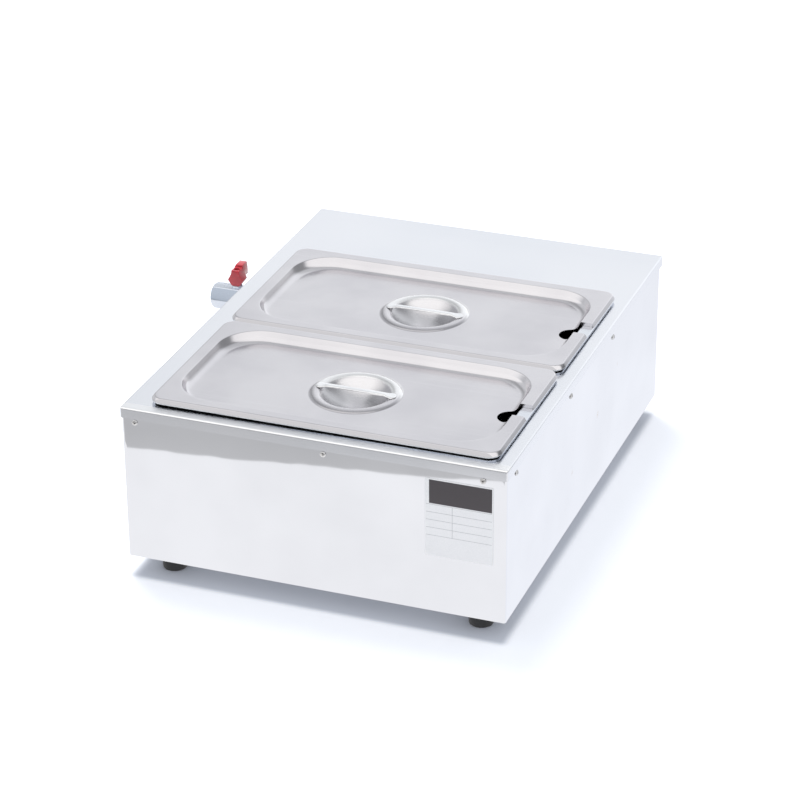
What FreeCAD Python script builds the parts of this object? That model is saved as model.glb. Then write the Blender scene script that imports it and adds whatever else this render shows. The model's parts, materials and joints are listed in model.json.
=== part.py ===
import FreeCAD, Part
import math
import os

# Electric chocolate melter: a stainless cabinet with a water tank under its deck, two lift-out pans
# with notched lids, and a drain valve in the left wall. Millimetres, +Z up, floor at Z = 0.
# While it is drawn, X = 0 is the cabinet's middle and Y = 0 the deck's edge at the rating plate.
# At the end the whole melter is moved so that the middle of its footprint is at X = Y = 0.

# Cabinet
body_height = 150.0
foot_height = 20.0
sheet = 1.2
cover_lip = 10.0
control_overhang = 8.0
bottom_flange = 12.0
panel_flange = 10.0
deck_left_margin = 22.0
deck_right_margin = 13.0
deck_near_margin = 12.0
tank_overrun = 33.5
control_room = 79.0

# Pans and lids, after the third-size catering pan
pan_rim_length = 325.0
pan_rim_width = 176.0
pan_depth = 65.0
pan_rim_height = 3.6
pan_flange = 12.5
pan_wall = 0.8
pan_taper = 8.0
pan_rim_corner = 12.5
pan_rim_round = 0.9
pan_well_corner = 38.0
pan_floor_fillet = 12.0
pan_base_corner_step = 6.0
pan_gap = 2.5
opening_clearance = 5.0
opening_corner = 12.0
opening_collar = 6.0

lid_height = 3.4
lid_sheet = 0.8
lid_edge_slope = 2.2
lid_edge_round = 2.0
lid_rim_width = 12.4
lid_recess_depth = 9.0
lid_recess_slope = 10.2
lid_recess_corner = 40.0
lid_panel_corner = 32.86
lid_recess_fillet = 10.0
notch_width = 23.0
notch_length = 30.0
dish_ring_radius = 41.0
dish_crest_outer = 38.0
dish_crest_inner = 34.0
dish_crest_height = 1.8
dish_radius = 31.0
dish_depth = 14.8
strap_width = 6.0
strap_thickness = 2.2
strap_end_width = 11.0
strap_end_length = 12.0
strap_end_thickness = 1.2

# Water tank and heater
tank_clearance = 0.5
tank_floor_z = 94.0
tank_flange = 4.0
tank_corner = 10.0
tank_bend = 2.0
element_radius = 4.0
element_lift = 3.5
element_outer_offset = 95.0
element_inner_offset = 35.0
element_near_margin = 30.0
element_far_margin = 60.0
element_tail = 22.0
terminal_pin_radius = 1.8
terminal_pin_length = 9.0
element_nut_flats = 17.0
element_nut_length = 6.0
element_collar_radius = 5.4
element_collar_length = 2.5
clip_width = 16.0
clip_length = 10.0
clip_near_inset = 60.0
clip_far_inset = 50.0

# Drain
drain_setback = 20.0
drain_height = 10.0
drain_pipe_radius = 8.35
drain_bore_radius = 6.0
drain_reach = 78.2
drain_hole_clearance = 0.4
lock_nut_flats = 24.0
lock_nut_length = 5.0
valve_length = 50.0
valve_flats = 23.0
flat_on_top = 30.0
valve_socket_radius = 7.475
valve_socket_depth = 11.5
valve_passage_radius = 5.0
ball_radius = 7.5
ball_clearance = 0.1
chamber_radius = 8.0
seat_near = 5.8
seat_far = 8.3
insert_length = 5.7
stem_radius = 3.0
shaft_clearance = 0.05
stem_tang_width = 5.0
stem_tang_thickness = 2.0
stem_tang_depth = 1.8
boss_radius = 6.0
boss_height = 1.0
gland_nut_flats = 10.0
gland_nut_height = 2.0
handle_gap = 0.3
handle_hub_height = 16.8
handle_height = 19.0
handle_hub_length = 10.0
handle_length = 22.0
handle_base_width = 8.5
handle_flare_width = 16.6
handle_flare_height = 6.0
handle_neck_width = 9.0
handle_neck_height = 12.5
handle_top_width = 7.4
handle_screw_recess = 2.2

# Control side
control_z = 95.0
thermostat_x = -60.0
thermostat_width = 44.0
thermostat_height = 40.0
thermostat_depth = 30.0
thermostat_screw_offset = 12.0
spindle_radius = 3.0
spindle_reach = 14.0
spindle_depth = 15.0
dial_plate_radius = 32.0
dial_plate_thickness = 1.0
knob_radius = 21.0
knob_top_radius = 16.5
knob_height = 17.0
knob_skirt = 5.0
knob_gap = 0.6
knob_grip_width = 9.0
knob_flutes = 12
bulb_radius = 3.0
bulb_length = 85.0
bulb_setback = 15.0
capillary_radius = 0.9
capillary_drop = 18.0
capillary_bend = 6.0
switch_x = 78.0
switch_bezel_width = 22.0
switch_bezel_height = 30.0
switch_bezel_thickness = 2.0
switch_body_width = 19.0
switch_body_height = 27.0
switch_body_depth = 20.0
rocker_width = 14.0
rocker_radius = 10.6
rocker_slope = 8.0
rocker_face = 4.2
rocker_back = 3.2
rocker_clearance = 0.4
rocker_pin_radius = 1.5
rocker_pin_length = 1.4
lamp_x = 12.0
lamp_radius = 5.0
lamp_flange_radius = 7.0
lamp_body_length = 18.0
lamp_lens_height = 4.0
gland_side_inset = 30.0
gland_z = 48.0
gland_bore_radius = 4.0
gland_thread_radius = 8.0
gland_flats = 22.0
gland_nut_thickness = 5.0
gland_dome_length = 12.0
gland_hex_length = 6.0
block_foot_spacing = 55.0
block_setback = 47.0
block_length = 62.0
block_width = 22.0
block_height = 17.0
block_poles = 5
cutout_x = 25.0
cutout_z = 128.0
cutout_radius = 8.0
cutout_height = 9.0
cutout_tab_width = 6.0

# Feet, rating plate and fasteners
foot_radius = 12.0
foot_base_radius = 11.0
foot_hollow_radius = 5.0
foot_hollow_depth = 12.0
foot_side_inset = 33.0
foot_end_inset = 30.0
screw_radius = 1.9
screw_head_radius = 3.3
screw_head_height = 2.0
foot_screw_grip = 6.0
foot_nut_flats = 7.0
foot_nut_height = 3.2
bracket_width = 16.0
bracket_leg = 9.0
bracket_drop = 24.0
bracket_sheet = 1.5
cover_screw_length = 8.0
near_screw_insets = (14.0, 22.5)
near_screw_middle = 12.0
near_screw_drop = 13.5
side_screw_y = (26.0, 181.0, 312.0)
side_screw_drop = 14.0
base_screw_inset = 6.0
base_screw_length = 7.0
base_screw_x = 110.0
base_screw_y = (120.0, 350.0)
vent_count = 9
vent_length = 34.0
vent_width = 4.0
vent_pitch = 11.0
plate_width = 62.0
plate_side_inset = 13.0
plate_height = 75.0
plate_drop = 19.0
plate_thickness = 0.4

# Levels and places that follow from the sizes above
pan_centre_x = (deck_left_margin - deck_right_margin) / 2
near_pan_y = deck_near_margin + pan_rim_width / 2
pan_pitch = pan_rim_width + pan_gap
far_pan_y = near_pan_y + pan_pitch
tank_end_y = far_pan_y + pan_rim_width / 2 + tank_overrun
body_width = deck_left_margin + pan_rim_length + deck_right_margin
body_length = tank_end_y + control_room
deck_z = foot_height + body_height
deck_underside = deck_z - sheet
half_width = body_width / 2
shell_half = half_width - sheet
shell_inside = shell_half - sheet
near_face = sheet
near_inside = near_face + sheet
control_face = body_length - control_overhang
control_inside = control_face - sheet
floor_top = foot_height + sheet
plate_level = floor_top + sheet
pan_rim_z = deck_z + pan_rim_height
pan_floor_z = pan_rim_z - pan_depth
well_length = pan_rim_length - 2 * (pan_flange - pan_wall)
well_width = pan_rim_width - 2 * (pan_flange - pan_wall)
opening_length = well_length + 2 * opening_clearance
opening_width = well_width + 2 * opening_clearance
lid_length = pan_rim_length
lid_width = pan_rim_width
lid_corner = pan_rim_corner
lid_top_z = pan_rim_z + lid_height
lid_panel_z = lid_top_z - lid_recess_depth
dish_crest_z = lid_panel_z + dish_crest_height
tank_left = pan_centre_x - opening_length / 2 - sheet - tank_clearance
tank_right = pan_centre_x + opening_length / 2 + sheet + tank_clearance
tank_near = near_pan_y - opening_width / 2 - sheet - tank_clearance
tank_underside = tank_floor_z - sheet
element_near_y = tank_near + element_near_margin
element_far_y = tank_end_y - element_far_margin
clip_y = (element_near_y + clip_near_inset, element_far_y - clip_far_inset)
element_z = tank_floor_z + element_lift + element_radius
drain_y = tank_end_y - drain_setback
drain_z = tank_floor_z + drain_height
valve_end = -shell_half - drain_reach
valve_inlet = valve_end + valve_length
stem_x = valve_end + valve_length / 2
valve_top = drain_z + valve_flats / 2
handle_base_z = valve_top + boss_height + gland_nut_height + handle_gap
spindle_y = control_face + spindle_reach
bulb_end_y = tank_end_y - bulb_setback
gland_x = half_width - gland_side_inset
foot_x = half_width - foot_side_inset
block_x = foot_x - block_foot_spacing
block_y = body_length - block_setback
vent_y = block_y
near_screw_x = (-half_width + near_screw_insets[0], near_screw_middle, half_width - near_screw_insets[1])
plate_right = half_width - plate_side_inset
plate_left = plate_right - plate_width
plate_top = deck_z - plate_drop
plate_bottom = plate_top - plate_height


def vector(x, y, z):
    return FreeCAD.Vector(x, y, z)


along_x = vector(1, 0, 0)
along_y = vector(0, 1, 0)
along_z = vector(0, 0, 1)


def block(x_range, y_range, z_range):
    corner = vector(x_range[0], y_range[0], z_range[0])
    size = [high - low for low, high in (x_range, y_range, z_range)]
    return Part.makeBox(size[0], size[1], size[2], corner)


def rod(radius, length, start, direction):
    return Part.makeCylinder(radius, length, start, direction)


def tube(outer, inner, length, start, direction):
    return rod(outer, length, start, direction).cut(rod(inner, length, start, direction))


def fuse(shapes):
    return shapes[0].multiFuse(shapes[1:]).removeSplitter()


def hexagon(flats, length, start, direction, first_corner=0):
    radius = flats / math.sqrt(3)
    turn = FreeCAD.Rotation(along_z, direction)
    corners = []
    for step in range(7):
        angle = math.radians(first_corner + 60 * step)
        corner = vector(radius * math.cos(angle), radius * math.sin(angle), 0)
        corners.append(start + turn.multVec(corner))
    return Part.Face(Part.makePolygon(corners)).extrude(direction * length)


def rounded_outline(centre_y, length, width, corner, z):
    # A rectangle about the pans' middle line with four round corners, as one closed wire
    x_half = length / 2 - corner
    y_half = width / 2 - corner
    diagonal = corner * math.sqrt(0.5)
    edges = []
    for x_side, y_side in ((1, 1), (-1, 1), (-1, -1), (1, -1)):
        middle = vector(pan_centre_x + x_side * x_half, centre_y + y_side * y_half, z)
        ends = [middle + vector(x_side * corner, 0, 0), middle + vector(0, y_side * corner, 0)]
        if x_side != y_side:
            ends.reverse()
        if edges:
            edges.append(Part.makeLine(edges[-1].lastVertex(True).Point, ends[0]))
        halfway = middle + vector(x_side * diagonal, y_side * diagonal, 0)
        edges.append(Part.Arc(ends[0], halfway, ends[1]).toShape())
    edges.append(Part.makeLine(ends[1], edges[0].firstVertex(True).Point))
    return Part.Wire(edges)


def rounded_block(centre_y, length, width, corner, z_low, z_high):
    outline = rounded_outline(centre_y, length, width, corner, z_low)
    return Part.Face(outline).extrude(vector(0, 0, z_high - z_low))


def tapered_block(top, bottom):
    return Part.makeLoft([rounded_outline(*bottom), rounded_outline(*top)], True, True)


def edges_at(shape, z):
    level = [edge for edge in shape.Edges if edge.BoundBox.ZLength < 1e-4]
    return [edge for edge in level if abs(edge.BoundBox.ZMin - z) < 1e-4]


def bent_tube(points, bend, radius):
    # Straight runs joined by tangent arcs, swept with a round section
    edges = []
    start = points[0]
    for before, corner, after in zip(points, points[1:], points[2:]):
        incoming = (corner - before).normalize()
        outgoing = (after - corner).normalize()
        half_turn = incoming.getAngle(outgoing) / 2
        setback = bend * math.tan(half_turn)
        arc_start = corner - incoming * setback
        arc_end = corner + outgoing * setback
        inward = (outgoing - incoming).normalize()
        middle = corner + inward * (bend / math.cos(half_turn) - bend)
        if (arc_start - start).Length > 1e-6:
            edges.append(Part.makeLine(start, arc_start))
        edges.append(Part.Arc(arc_start, middle, arc_end).toShape())
        start = arc_end
    if (points[-1] - start).Length > 1e-6:
        edges.append(Part.makeLine(start, points[-1]))
    circle = Part.Wire(Part.makeCircle(radius, points[0], points[1] - points[0]))
    return Part.Wire(edges).makePipeShell([circle], True, False)


def pan_head_screw(head_seat, direction, length):
    # The direction points from the head's seat into the hole
    head = rod(screw_head_radius, screw_head_height, head_seat, direction * -1)
    circles = [edge for edge in head.Edges if isinstance(edge.Curve, Part.Circle)]
    crown = [
        edge for edge in circles if edge.BoundBox.Center.distanceToPoint(head_seat) > screw_head_height / 2
    ]
    head = head.makeFillet(screw_head_height * 0.6, crown)
    return fuse([head, rod(screw_radius, length, head_seat, direction)])


# Every cover screw: its seat on the cabinet's outside and the direction it points
def cover_screw_seats():
    near_z = deck_z - near_screw_drop
    side_z = deck_z - side_screw_drop
    seats = [(vector(x, near_face, near_z), along_y) for x in near_screw_x]
    seats += [(vector(shell_half, y, side_z), along_x * -1) for y in side_screw_y]
    seats += [(vector(-shell_half, y, side_z), along_x) for y in side_screw_y]
    return seats


def base_screw_seats():
    flange_x = shell_half - base_screw_inset
    near_y = near_face + base_screw_inset
    far_y = control_face - base_screw_inset
    seats = [vector(side * flange_x, y, foot_height) for side in (-1, 1) for y in base_screw_y]
    seats += [vector(side * base_screw_x, y, foot_height) for side in (-1, 1) for y in (near_y, far_y)]
    return seats


def foot_places():
    far_y = control_face - foot_end_inset
    return {
        "near_left_foot": vector(-foot_x, foot_end_inset, 0),
        "near_right_foot": vector(foot_x, foot_end_inset, 0),
        "far_left_foot": vector(-foot_x, far_y, 0),
        "far_right_foot": vector(foot_x, far_y, 0),
    }


def make_top_cover():
    outside = block((-half_width, half_width), (0, body_length), (deck_z - cover_lip, deck_z))
    inside = block(
        (-half_width + sheet, half_width - sheet),
        (sheet, body_length - sheet),
        (deck_z - cover_lip, deck_underside),
    )
    cover = outside.cut(inside)
    for centre_y in (near_pan_y, far_pan_y):
        collar = rounded_block(
            centre_y,
            opening_length + 2 * sheet,
            opening_width + 2 * sheet,
            opening_corner + sheet,
            deck_underside - opening_collar,
            deck_underside,
        )
        cover = cover.fuse(collar)
    for centre_y in (near_pan_y, far_pan_y):
        opening = rounded_block(
            centre_y, opening_length, opening_width, opening_corner, deck_underside - opening_collar, deck_z
        )
        cover = cover.cut(opening)
    return cover.removeSplitter()


def make_body_shell():
    outside = block((-shell_half, shell_half), (near_face, control_face), (foot_height, deck_underside))
    inside = block((-shell_inside, shell_inside), (near_inside, control_face), (floor_top, deck_underside))
    flange_x = shell_half - bottom_flange
    well = block((-flange_x, flange_x), (near_face + bottom_flange, control_face), (foot_height, floor_top))
    far_end = block(
        (-shell_inside, shell_inside), (control_face - bottom_flange, control_face), (foot_height, floor_top)
    )
    holes = [rod(screw_radius, 2 * sheet, seat - way * (sheet / 2), way) for seat, way in cover_screw_seats()]
    holes += [rod(screw_radius, 2 * sheet, seat, along_z) for seat in base_screw_seats()]
    drain_start = vector(-shell_half, drain_y, drain_z)
    holes.append(rod(drain_pipe_radius + drain_hole_clearance, 2 * sheet, drain_start, along_x))
    return outside.cut([inside, well, far_end] + holes)


def make_control_panel():
    face = block((-shell_inside, shell_inside), (control_inside, control_face), (foot_height, deck_underside))
    flange_y = (control_face - panel_flange, control_inside)
    sides = [
        block((x, x + sheet), flange_y, (plate_level, deck_underside - sheet))
        for x in (-shell_inside, shell_inside - sheet)
    ]
    top = block((-shell_inside, shell_inside), flange_y, (deck_underside - sheet, deck_underside))
    foot_y = (control_face - bottom_flange, control_inside)
    foot = block((-shell_inside, shell_inside), foot_y, (foot_height, floor_top))
    panel = fuse([face, top, foot] + sides)
    body_half = switch_body_width / 2
    body_rise = switch_body_height / 2
    through = (control_inside, control_face)
    switch_hole = block(
        (switch_x - body_half, switch_x + body_half), through, (control_z - body_rise, control_z + body_rise)
    )
    holes = [switch_hole]
    for x, z, radius in (
        (thermostat_x, control_z, spindle_radius + 2 * sheet),
        (lamp_x, control_z, lamp_radius),
        (gland_x, gland_z, gland_thread_radius),
    ):
        holes.append(rod(radius, sheet, vector(x, control_inside, z), along_y))
    holes += [rod(screw_radius, sheet, seat, along_y) for seat in thermostat_screw_points(control_inside)]
    holes += [rod(screw_radius, 2 * sheet, seat, along_z) for seat in base_screw_seats()]
    return panel.cut(holes)


def make_base_plate():
    plate = block((-shell_inside, shell_inside), (near_inside, control_inside), (floor_top, plate_level))
    holes = [rod(screw_radius, 2 * sheet, seat, along_z) for seat in base_screw_seats()]
    foot_tops = [place + along_z * floor_top for place in foot_places().values()]
    holes += [rod(screw_radius, sheet, top, along_z) for top in foot_tops]
    first_x = -vent_pitch * (vent_count - 1) / 2
    straight = (vent_length - vent_width) / 2
    for number in range(vent_count):
        x = first_x + number * vent_pitch
        slot_x = (x - vent_width / 2, x + vent_width / 2)
        slot = block(slot_x, (vent_y - straight, vent_y + straight), (floor_top, plate_level))
        middles = [vector(x, vent_y + side * straight, floor_top) for side in (-1, 1)]
        holes.append(slot.multiFuse([rod(vent_width / 2, sheet, middle, along_z) for middle in middles]))
    return plate.cut(holes)


def make_cover_brackets():
    # Angle pieces under the deck's edge that the cover screws bite into
    brackets = []
    for seat, way in cover_screw_seats():
        drop = block((0, bracket_sheet), (-bracket_width / 2, bracket_width / 2), (-bracket_drop, 0))
        leg = block((0, bracket_leg), (-bracket_width / 2, bracket_width / 2), (-bracket_sheet, 0))
        bracket = fuse([drop, leg])
        inside = seat + way * sheet
        bracket.Placement = FreeCAD.Placement(
            vector(inside.x, inside.y, deck_underside), FreeCAD.Rotation(along_x, way)
        )
        brackets.append(bracket.cut(rod(screw_radius, bracket_leg, inside, way)))
    return Part.makeCompound(brackets)


def make_pan(centre_y):
    rim = rounded_block(centre_y, pan_rim_length, pan_rim_width, pan_rim_corner, deck_z, pan_rim_z)
    rim = rim.makeFillet(pan_rim_round, edges_at(rim, pan_rim_z))
    under_corner = pan_rim_corner - pan_wall
    under = rounded_block(
        centre_y,
        pan_rim_length - 2 * pan_wall,
        pan_rim_width - 2 * pan_wall,
        under_corner,
        deck_z,
        pan_rim_z - pan_wall,
    )
    base_corner = pan_well_corner - pan_base_corner_step
    outer = tapered_block(
        (centre_y, well_length, well_width, pan_well_corner, pan_rim_z - pan_wall),
        (centre_y, well_length - 2 * pan_taper, well_width - 2 * pan_taper, base_corner, pan_floor_z),
    )
    outer = outer.makeFillet(pan_floor_fillet, edges_at(outer, pan_floor_z))
    inner_corner = pan_well_corner - pan_wall
    inner = tapered_block(
        (centre_y, well_length - 2 * pan_wall, well_width - 2 * pan_wall, inner_corner, pan_rim_z),
        (
            centre_y,
            well_length - 2 * pan_taper - 2 * pan_wall,
            well_width - 2 * pan_taper - 2 * pan_wall,
            base_corner - pan_wall,
            pan_floor_z + pan_wall,
        ),
    )
    inner = inner.makeFillet(pan_floor_fillet - pan_wall, edges_at(inner, pan_floor_z + pan_wall))
    return rim.cut(under).fuse(outer).cut(inner).removeSplitter()


def make_lid(centre_y):
    # The flat rim slopes down all round to an edge that stands on the pan's rim
    inner_height = lid_height - lid_sheet
    edge_thickness = lid_sheet * math.hypot(lid_edge_slope, lid_height) / lid_height
    top_inset = edge_thickness + lid_edge_slope * inner_height / lid_height
    rim = tapered_block(
        (
            centre_y,
            lid_length - 2 * lid_edge_slope,
            lid_width - 2 * lid_edge_slope,
            lid_corner - lid_edge_slope,
            lid_top_z,
        ),
        (centre_y, lid_length, lid_width, lid_corner, pan_rim_z),
    )
    rim = rim.makeFillet(lid_edge_round, edges_at(rim, lid_top_z))
    under = tapered_block(
        (
            centre_y,
            lid_length - 2 * top_inset,
            lid_width - 2 * top_inset,
            lid_corner - top_inset,
            lid_top_z - lid_sheet,
        ),
        (
            centre_y,
            lid_length - 2 * edge_thickness,
            lid_width - 2 * edge_thickness,
            lid_corner - edge_thickness,
            pan_rim_z,
        ),
    )
    trays = []
    # The pressed recess: its outside is the sheet's thickness larger and lower than its inside
    for grow in (lid_sheet, 0):
        inset = lid_rim_width - grow
        tray = tapered_block(
            (centre_y, lid_length - 2 * inset, lid_width - 2 * inset, lid_recess_corner + grow, lid_top_z),
            (
                centre_y,
                lid_length - 2 * (inset + lid_recess_slope),
                lid_width - 2 * (inset + lid_recess_slope),
                lid_panel_corner + grow,
                lid_panel_z - grow,
            ),
        )
        trays.append(tray.makeFillet(lid_recess_fillet + grow, edges_at(tray, lid_panel_z - grow)))
    lid = rim.cut(under).fuse(trays[0]).cut(trays[1])
    centre = vector(pan_centre_x, centre_y, lid_panel_z)
    lid = lid.cut(rod(dish_ring_radius, lid_sheet, centre - along_z * lid_sheet, along_z))
    lid = lid.fuse(make_dish(centre)).removeSplitter()
    outer_end = pan_centre_x + lid_length / 2
    round_x = outer_end - notch_length + notch_width / 2
    low = lid_panel_z - lid_sheet
    notch_side = (centre_y - notch_width / 2, centre_y + notch_width / 2)
    slot = block((round_x, outer_end), notch_side, (low, lid_top_z))
    slot = slot.fuse(rod(notch_width / 2, lid_top_z - low, vector(round_x, centre_y, low), along_z))
    return lid.cut(slot)


def make_dish(centre):
    # A raised ring round a spherical finger bowl, turned from one sheet profile
    sphere_radius = (dish_radius**2 + dish_depth**2) / (2 * dish_depth)
    bowl_turn = math.asin(dish_radius / sphere_radius) / 2
    sphere_middle = sphere_radius - dish_depth

    def surface(drop):
        def point(radius, height):
            return centre + vector(radius, 0, height - drop)

        bowl_middle = point(
            sphere_radius * math.sin(bowl_turn), sphere_middle - sphere_radius * math.cos(bowl_turn)
        )
        ring_foot = point(dish_ring_radius, 0)
        outer_crest = point(dish_crest_outer, dish_crest_height)
        inner_crest = point(dish_crest_inner, dish_crest_height)
        bowl_edge = point(dish_radius, 0)
        bowl = Part.Arc(bowl_edge, bowl_middle, point(0, -dish_depth)).toShape()
        return [
            Part.makeLine(ring_foot, outer_crest),
            Part.makeLine(outer_crest, inner_crest),
            Part.makeLine(inner_crest, bowl_edge),
            bowl,
        ]

    top = surface(0)
    bottom = surface(lid_sheet)
    outer_end = Part.makeLine(top[0].firstVertex(True).Point, bottom[0].firstVertex(True).Point)
    inner_end = Part.makeLine(top[-1].lastVertex(True).Point, bottom[-1].lastVertex(True).Point)
    profile = Part.Wire(Part.__sortEdges__(top + bottom + [outer_end, inner_end]))
    return Part.Face(profile).revolve(centre, along_z, 360)


def make_lid_handle(centre_y):
    # A folded strap across the bowl, with flattened ends welded to the ring's crest
    reach = dish_crest_outer
    bar_end = reach - strap_end_length
    bar = block(
        (pan_centre_x - bar_end, pan_centre_x + bar_end),
        (centre_y - strap_width / 2, centre_y + strap_width / 2),
        (dish_crest_z, dish_crest_z + strap_thickness),
    )
    lengthwise = [edge for edge in bar.Edges if edge.Length > 2 * bar_end - 1]
    bar = bar.makeFillet(strap_thickness * 0.3, lengthwise)
    pieces = [bar]
    for side in (-1, 1):
        outline = [
            (bar_end, -strap_width / 2),
            (reach - strap_end_length / 3, -strap_end_width / 2),
            (reach, -strap_width / 2),
            (reach, strap_width / 2),
            (reach - strap_end_length / 3, strap_end_width / 2),
            (bar_end, strap_width / 2),
            (bar_end, -strap_width / 2),
        ]
        corners = [vector(pan_centre_x + side * x, centre_y + y, dish_crest_z) for x, y in outline]
        face = Part.Face(Part.makePolygon(corners))
        pieces.append(face.extrude(along_z * strap_end_thickness))
    return fuse(pieces)


def element_ends():
    return [vector(pan_centre_x + side * element_outer_offset, tank_end_y, element_z) for side in (-1, 1)]


def make_water_tank():
    outside = block(
        (tank_left - sheet, tank_right + sheet),
        (tank_near - sheet, tank_end_y + sheet),
        (tank_underside, deck_underside),
    )
    inside = block((tank_left, tank_right), (tank_near, tank_end_y), (tank_floor_z, deck_underside))
    shells = []
    for shape, floor_z, grow in ((outside, tank_underside, sheet), (inside, tank_floor_z, 0)):
        upright = [edge for edge in shape.Edges if edge.BoundBox.ZLength > 1]
        shape = shape.makeFillet(tank_corner + grow, upright)
        shells.append(shape.makeFillet(tank_bend + grow, edges_at(shape, floor_z)))
    edge = sheet + tank_flange
    flange = block(
        (tank_left - edge, tank_right + edge),
        (tank_near - edge, tank_end_y + edge),
        (deck_underside - sheet, deck_underside),
    )
    tank = shells[0].fuse(flange).cut(shells[1])
    holes = [rod(element_radius, sheet, end, along_y) for end in element_ends()]
    drain_start = vector(tank_left - sheet, drain_y, drain_z)
    holes.append(rod(drain_pipe_radius, sheet + tank_bend, drain_start, along_x))
    return tank.cut(holes).removeSplitter()


def make_heating_element():
    left, right = [pan_centre_x + side * element_outer_offset for side in (-1, 1)]
    inner_left, inner_right = [pan_centre_x + side * element_inner_offset for side in (-1, 1)]
    tail_y = tank_end_y + sheet + element_tail
    path = [
        vector(left, tail_y, element_z),
        vector(left, element_near_y, element_z),
        vector(inner_left, element_near_y, element_z),
        vector(inner_left, element_far_y, element_z),
        vector(inner_right, element_far_y, element_z),
        vector(inner_right, element_near_y, element_z),
        vector(right, element_near_y, element_z),
        vector(right, tail_y, element_z),
    ]
    bend = min(element_inner_offset, (element_outer_offset - element_inner_offset) / 2) * 0.9
    tails = [vector(x, tail_y, element_z) for x in (left, right)]
    pins = [rod(terminal_pin_radius, terminal_pin_length, tail, along_y) for tail in tails]
    return fuse([bent_tube(path, bend, element_radius)] + pins)


def make_element_nuts():
    # On each tail: a collar inside the tank and a hexagon nut outside
    pieces = []
    for end in element_ends():
        start = end - along_y * element_collar_length
        pieces.append(tube(element_collar_radius, element_radius, element_collar_length, start, along_y))
        nut_start = end + along_y * sheet
        nut = hexagon(element_nut_flats, element_nut_length, nut_start, along_y)
        pieces.append(nut.cut(rod(element_radius, element_nut_length, nut_start, along_y)))
    return Part.makeCompound(pieces)


def make_element_clips():
    clips = []
    for side in (-1, 1):
        for y in clip_y:
            x = pan_centre_x + side * element_outer_offset
            cradle = block(
                (x - clip_width / 2, x + clip_width / 2),
                (y - clip_length / 2, y + clip_length / 2),
                (tank_floor_z, element_z),
            )
            groove = rod(element_radius, clip_length, vector(x, y - clip_length / 2, element_z), along_y)
            clips.append(cradle.cut(groove))
    return Part.makeCompound(clips)


def make_drain_pipe():
    start = vector(stem_x + seat_far + insert_length, drain_y, drain_z)
    return tube(drain_pipe_radius, drain_bore_radius, tank_left - start.x, start, along_x)


def make_drain_lock_nut():
    start = vector(-shell_half - lock_nut_length, drain_y, drain_z)
    nut = chamfered_hexagon(lock_nut_flats, lock_nut_length, start)
    return nut.cut(rod(drain_pipe_radius, lock_nut_length, start, along_x))


def chamfered_hexagon(flats, length, start):
    # A hexagon along X with a flat on top and its corners turned down at both ends
    corner = flats / math.sqrt(3)
    drop = corner - flats / 2
    hex_bar = hexagon(flats, length, start, along_x, flat_on_top)
    outer_line = [(0, flats / 2), (drop, corner), (length - drop, corner), (length, flats / 2)]
    profile = [(0, 0)] + outer_line + [(length, 0), (0, 0)]
    wire = Part.makePolygon([start + vector(x, 0, radius) for x, radius in profile])
    return hex_bar.common(Part.Face(wire).revolve(start, along_x, 360))


def make_drain_valve_body():
    end = vector(valve_end, drain_y, drain_z)
    boss = rod(boss_radius, valve_flats / 2 + boss_height, vector(stem_x, drain_y, drain_z), along_z)
    body = fuse([chamfered_hexagon(valve_flats, valve_length, end), boss])

    def bore(radius, x_low, x_high):
        return rod(radius, x_high - x_low, vector(x_low, drain_y, drain_z), along_x)

    bores = [
        bore(valve_socket_radius, valve_end, valve_end + valve_socket_depth),
        bore(valve_passage_radius, valve_end + valve_socket_depth, stem_x - seat_far),
        bore(chamber_radius, stem_x - seat_far, stem_x + seat_far),
        bore(drain_pipe_radius, stem_x + seat_far, valve_inlet),
        rod(stem_radius + shaft_clearance, valve_flats, vector(stem_x, drain_y, drain_z), along_z),
    ]
    return body.cut(bores)


def make_drain_valve_seats():
    seats = []
    ball_space = Part.makeSphere(ball_radius + ball_clearance, vector(stem_x, drain_y, drain_z), along_x)
    for x in (stem_x - seat_far, stem_x + seat_near):
        start = vector(x, drain_y, drain_z)
        ring = tube(chamber_radius, valve_passage_radius, seat_far - seat_near, start, along_x)
        seats.append(ring.cut(ball_space))
    return Part.makeCompound(seats)


def make_drain_valve_insert():
    start = vector(stem_x + seat_far, drain_y, drain_z)
    return tube(drain_pipe_radius, valve_passage_radius, insert_length, start, along_x)


def make_drain_valve_ball():
    # Closed at rest, so its bore lies across the pipe
    centre = vector(stem_x, drain_y, drain_z)
    ball = Part.makeSphere(ball_radius, centre, along_y)
    bore = rod(valve_passage_radius, 2 * ball_radius, centre - along_y * ball_radius, along_y)
    slot_floor = drain_z + ball_radius - stem_tang_depth
    slot = block(
        (stem_x - ball_radius, stem_x + ball_radius),
        (drain_y - stem_tang_thickness / 2, drain_y + stem_tang_thickness / 2),
        (slot_floor, drain_z + ball_radius),
    )
    return ball.cut([bore, slot])


def make_drain_valve_stem():
    shank_z = drain_z + ball_radius
    shank_top = handle_base_z + handle_hub_height - handle_screw_recess - screw_head_height
    shank = rod(stem_radius, shank_top - shank_z, vector(stem_x, drain_y, shank_z), along_z)
    tang = block(
        (stem_x - stem_tang_width / 2, stem_x + stem_tang_width / 2),
        (drain_y - stem_tang_thickness / 2, drain_y + stem_tang_thickness / 2),
        (shank_z - stem_tang_depth, shank_z),
    )
    screw_length = screw_head_height * 3
    hole = rod(screw_radius, screw_length, vector(stem_x, drain_y, shank_top - screw_length), along_z)
    return fuse([shank, tang]).cut(hole)


def make_drain_gland_nut():
    start = vector(stem_x, drain_y, valve_top + boss_height)
    nut = hexagon(gland_nut_flats, gland_nut_height, start, along_z)
    return nut.cut(rod(stem_radius + shaft_clearance, gland_nut_height, start, along_z))


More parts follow.
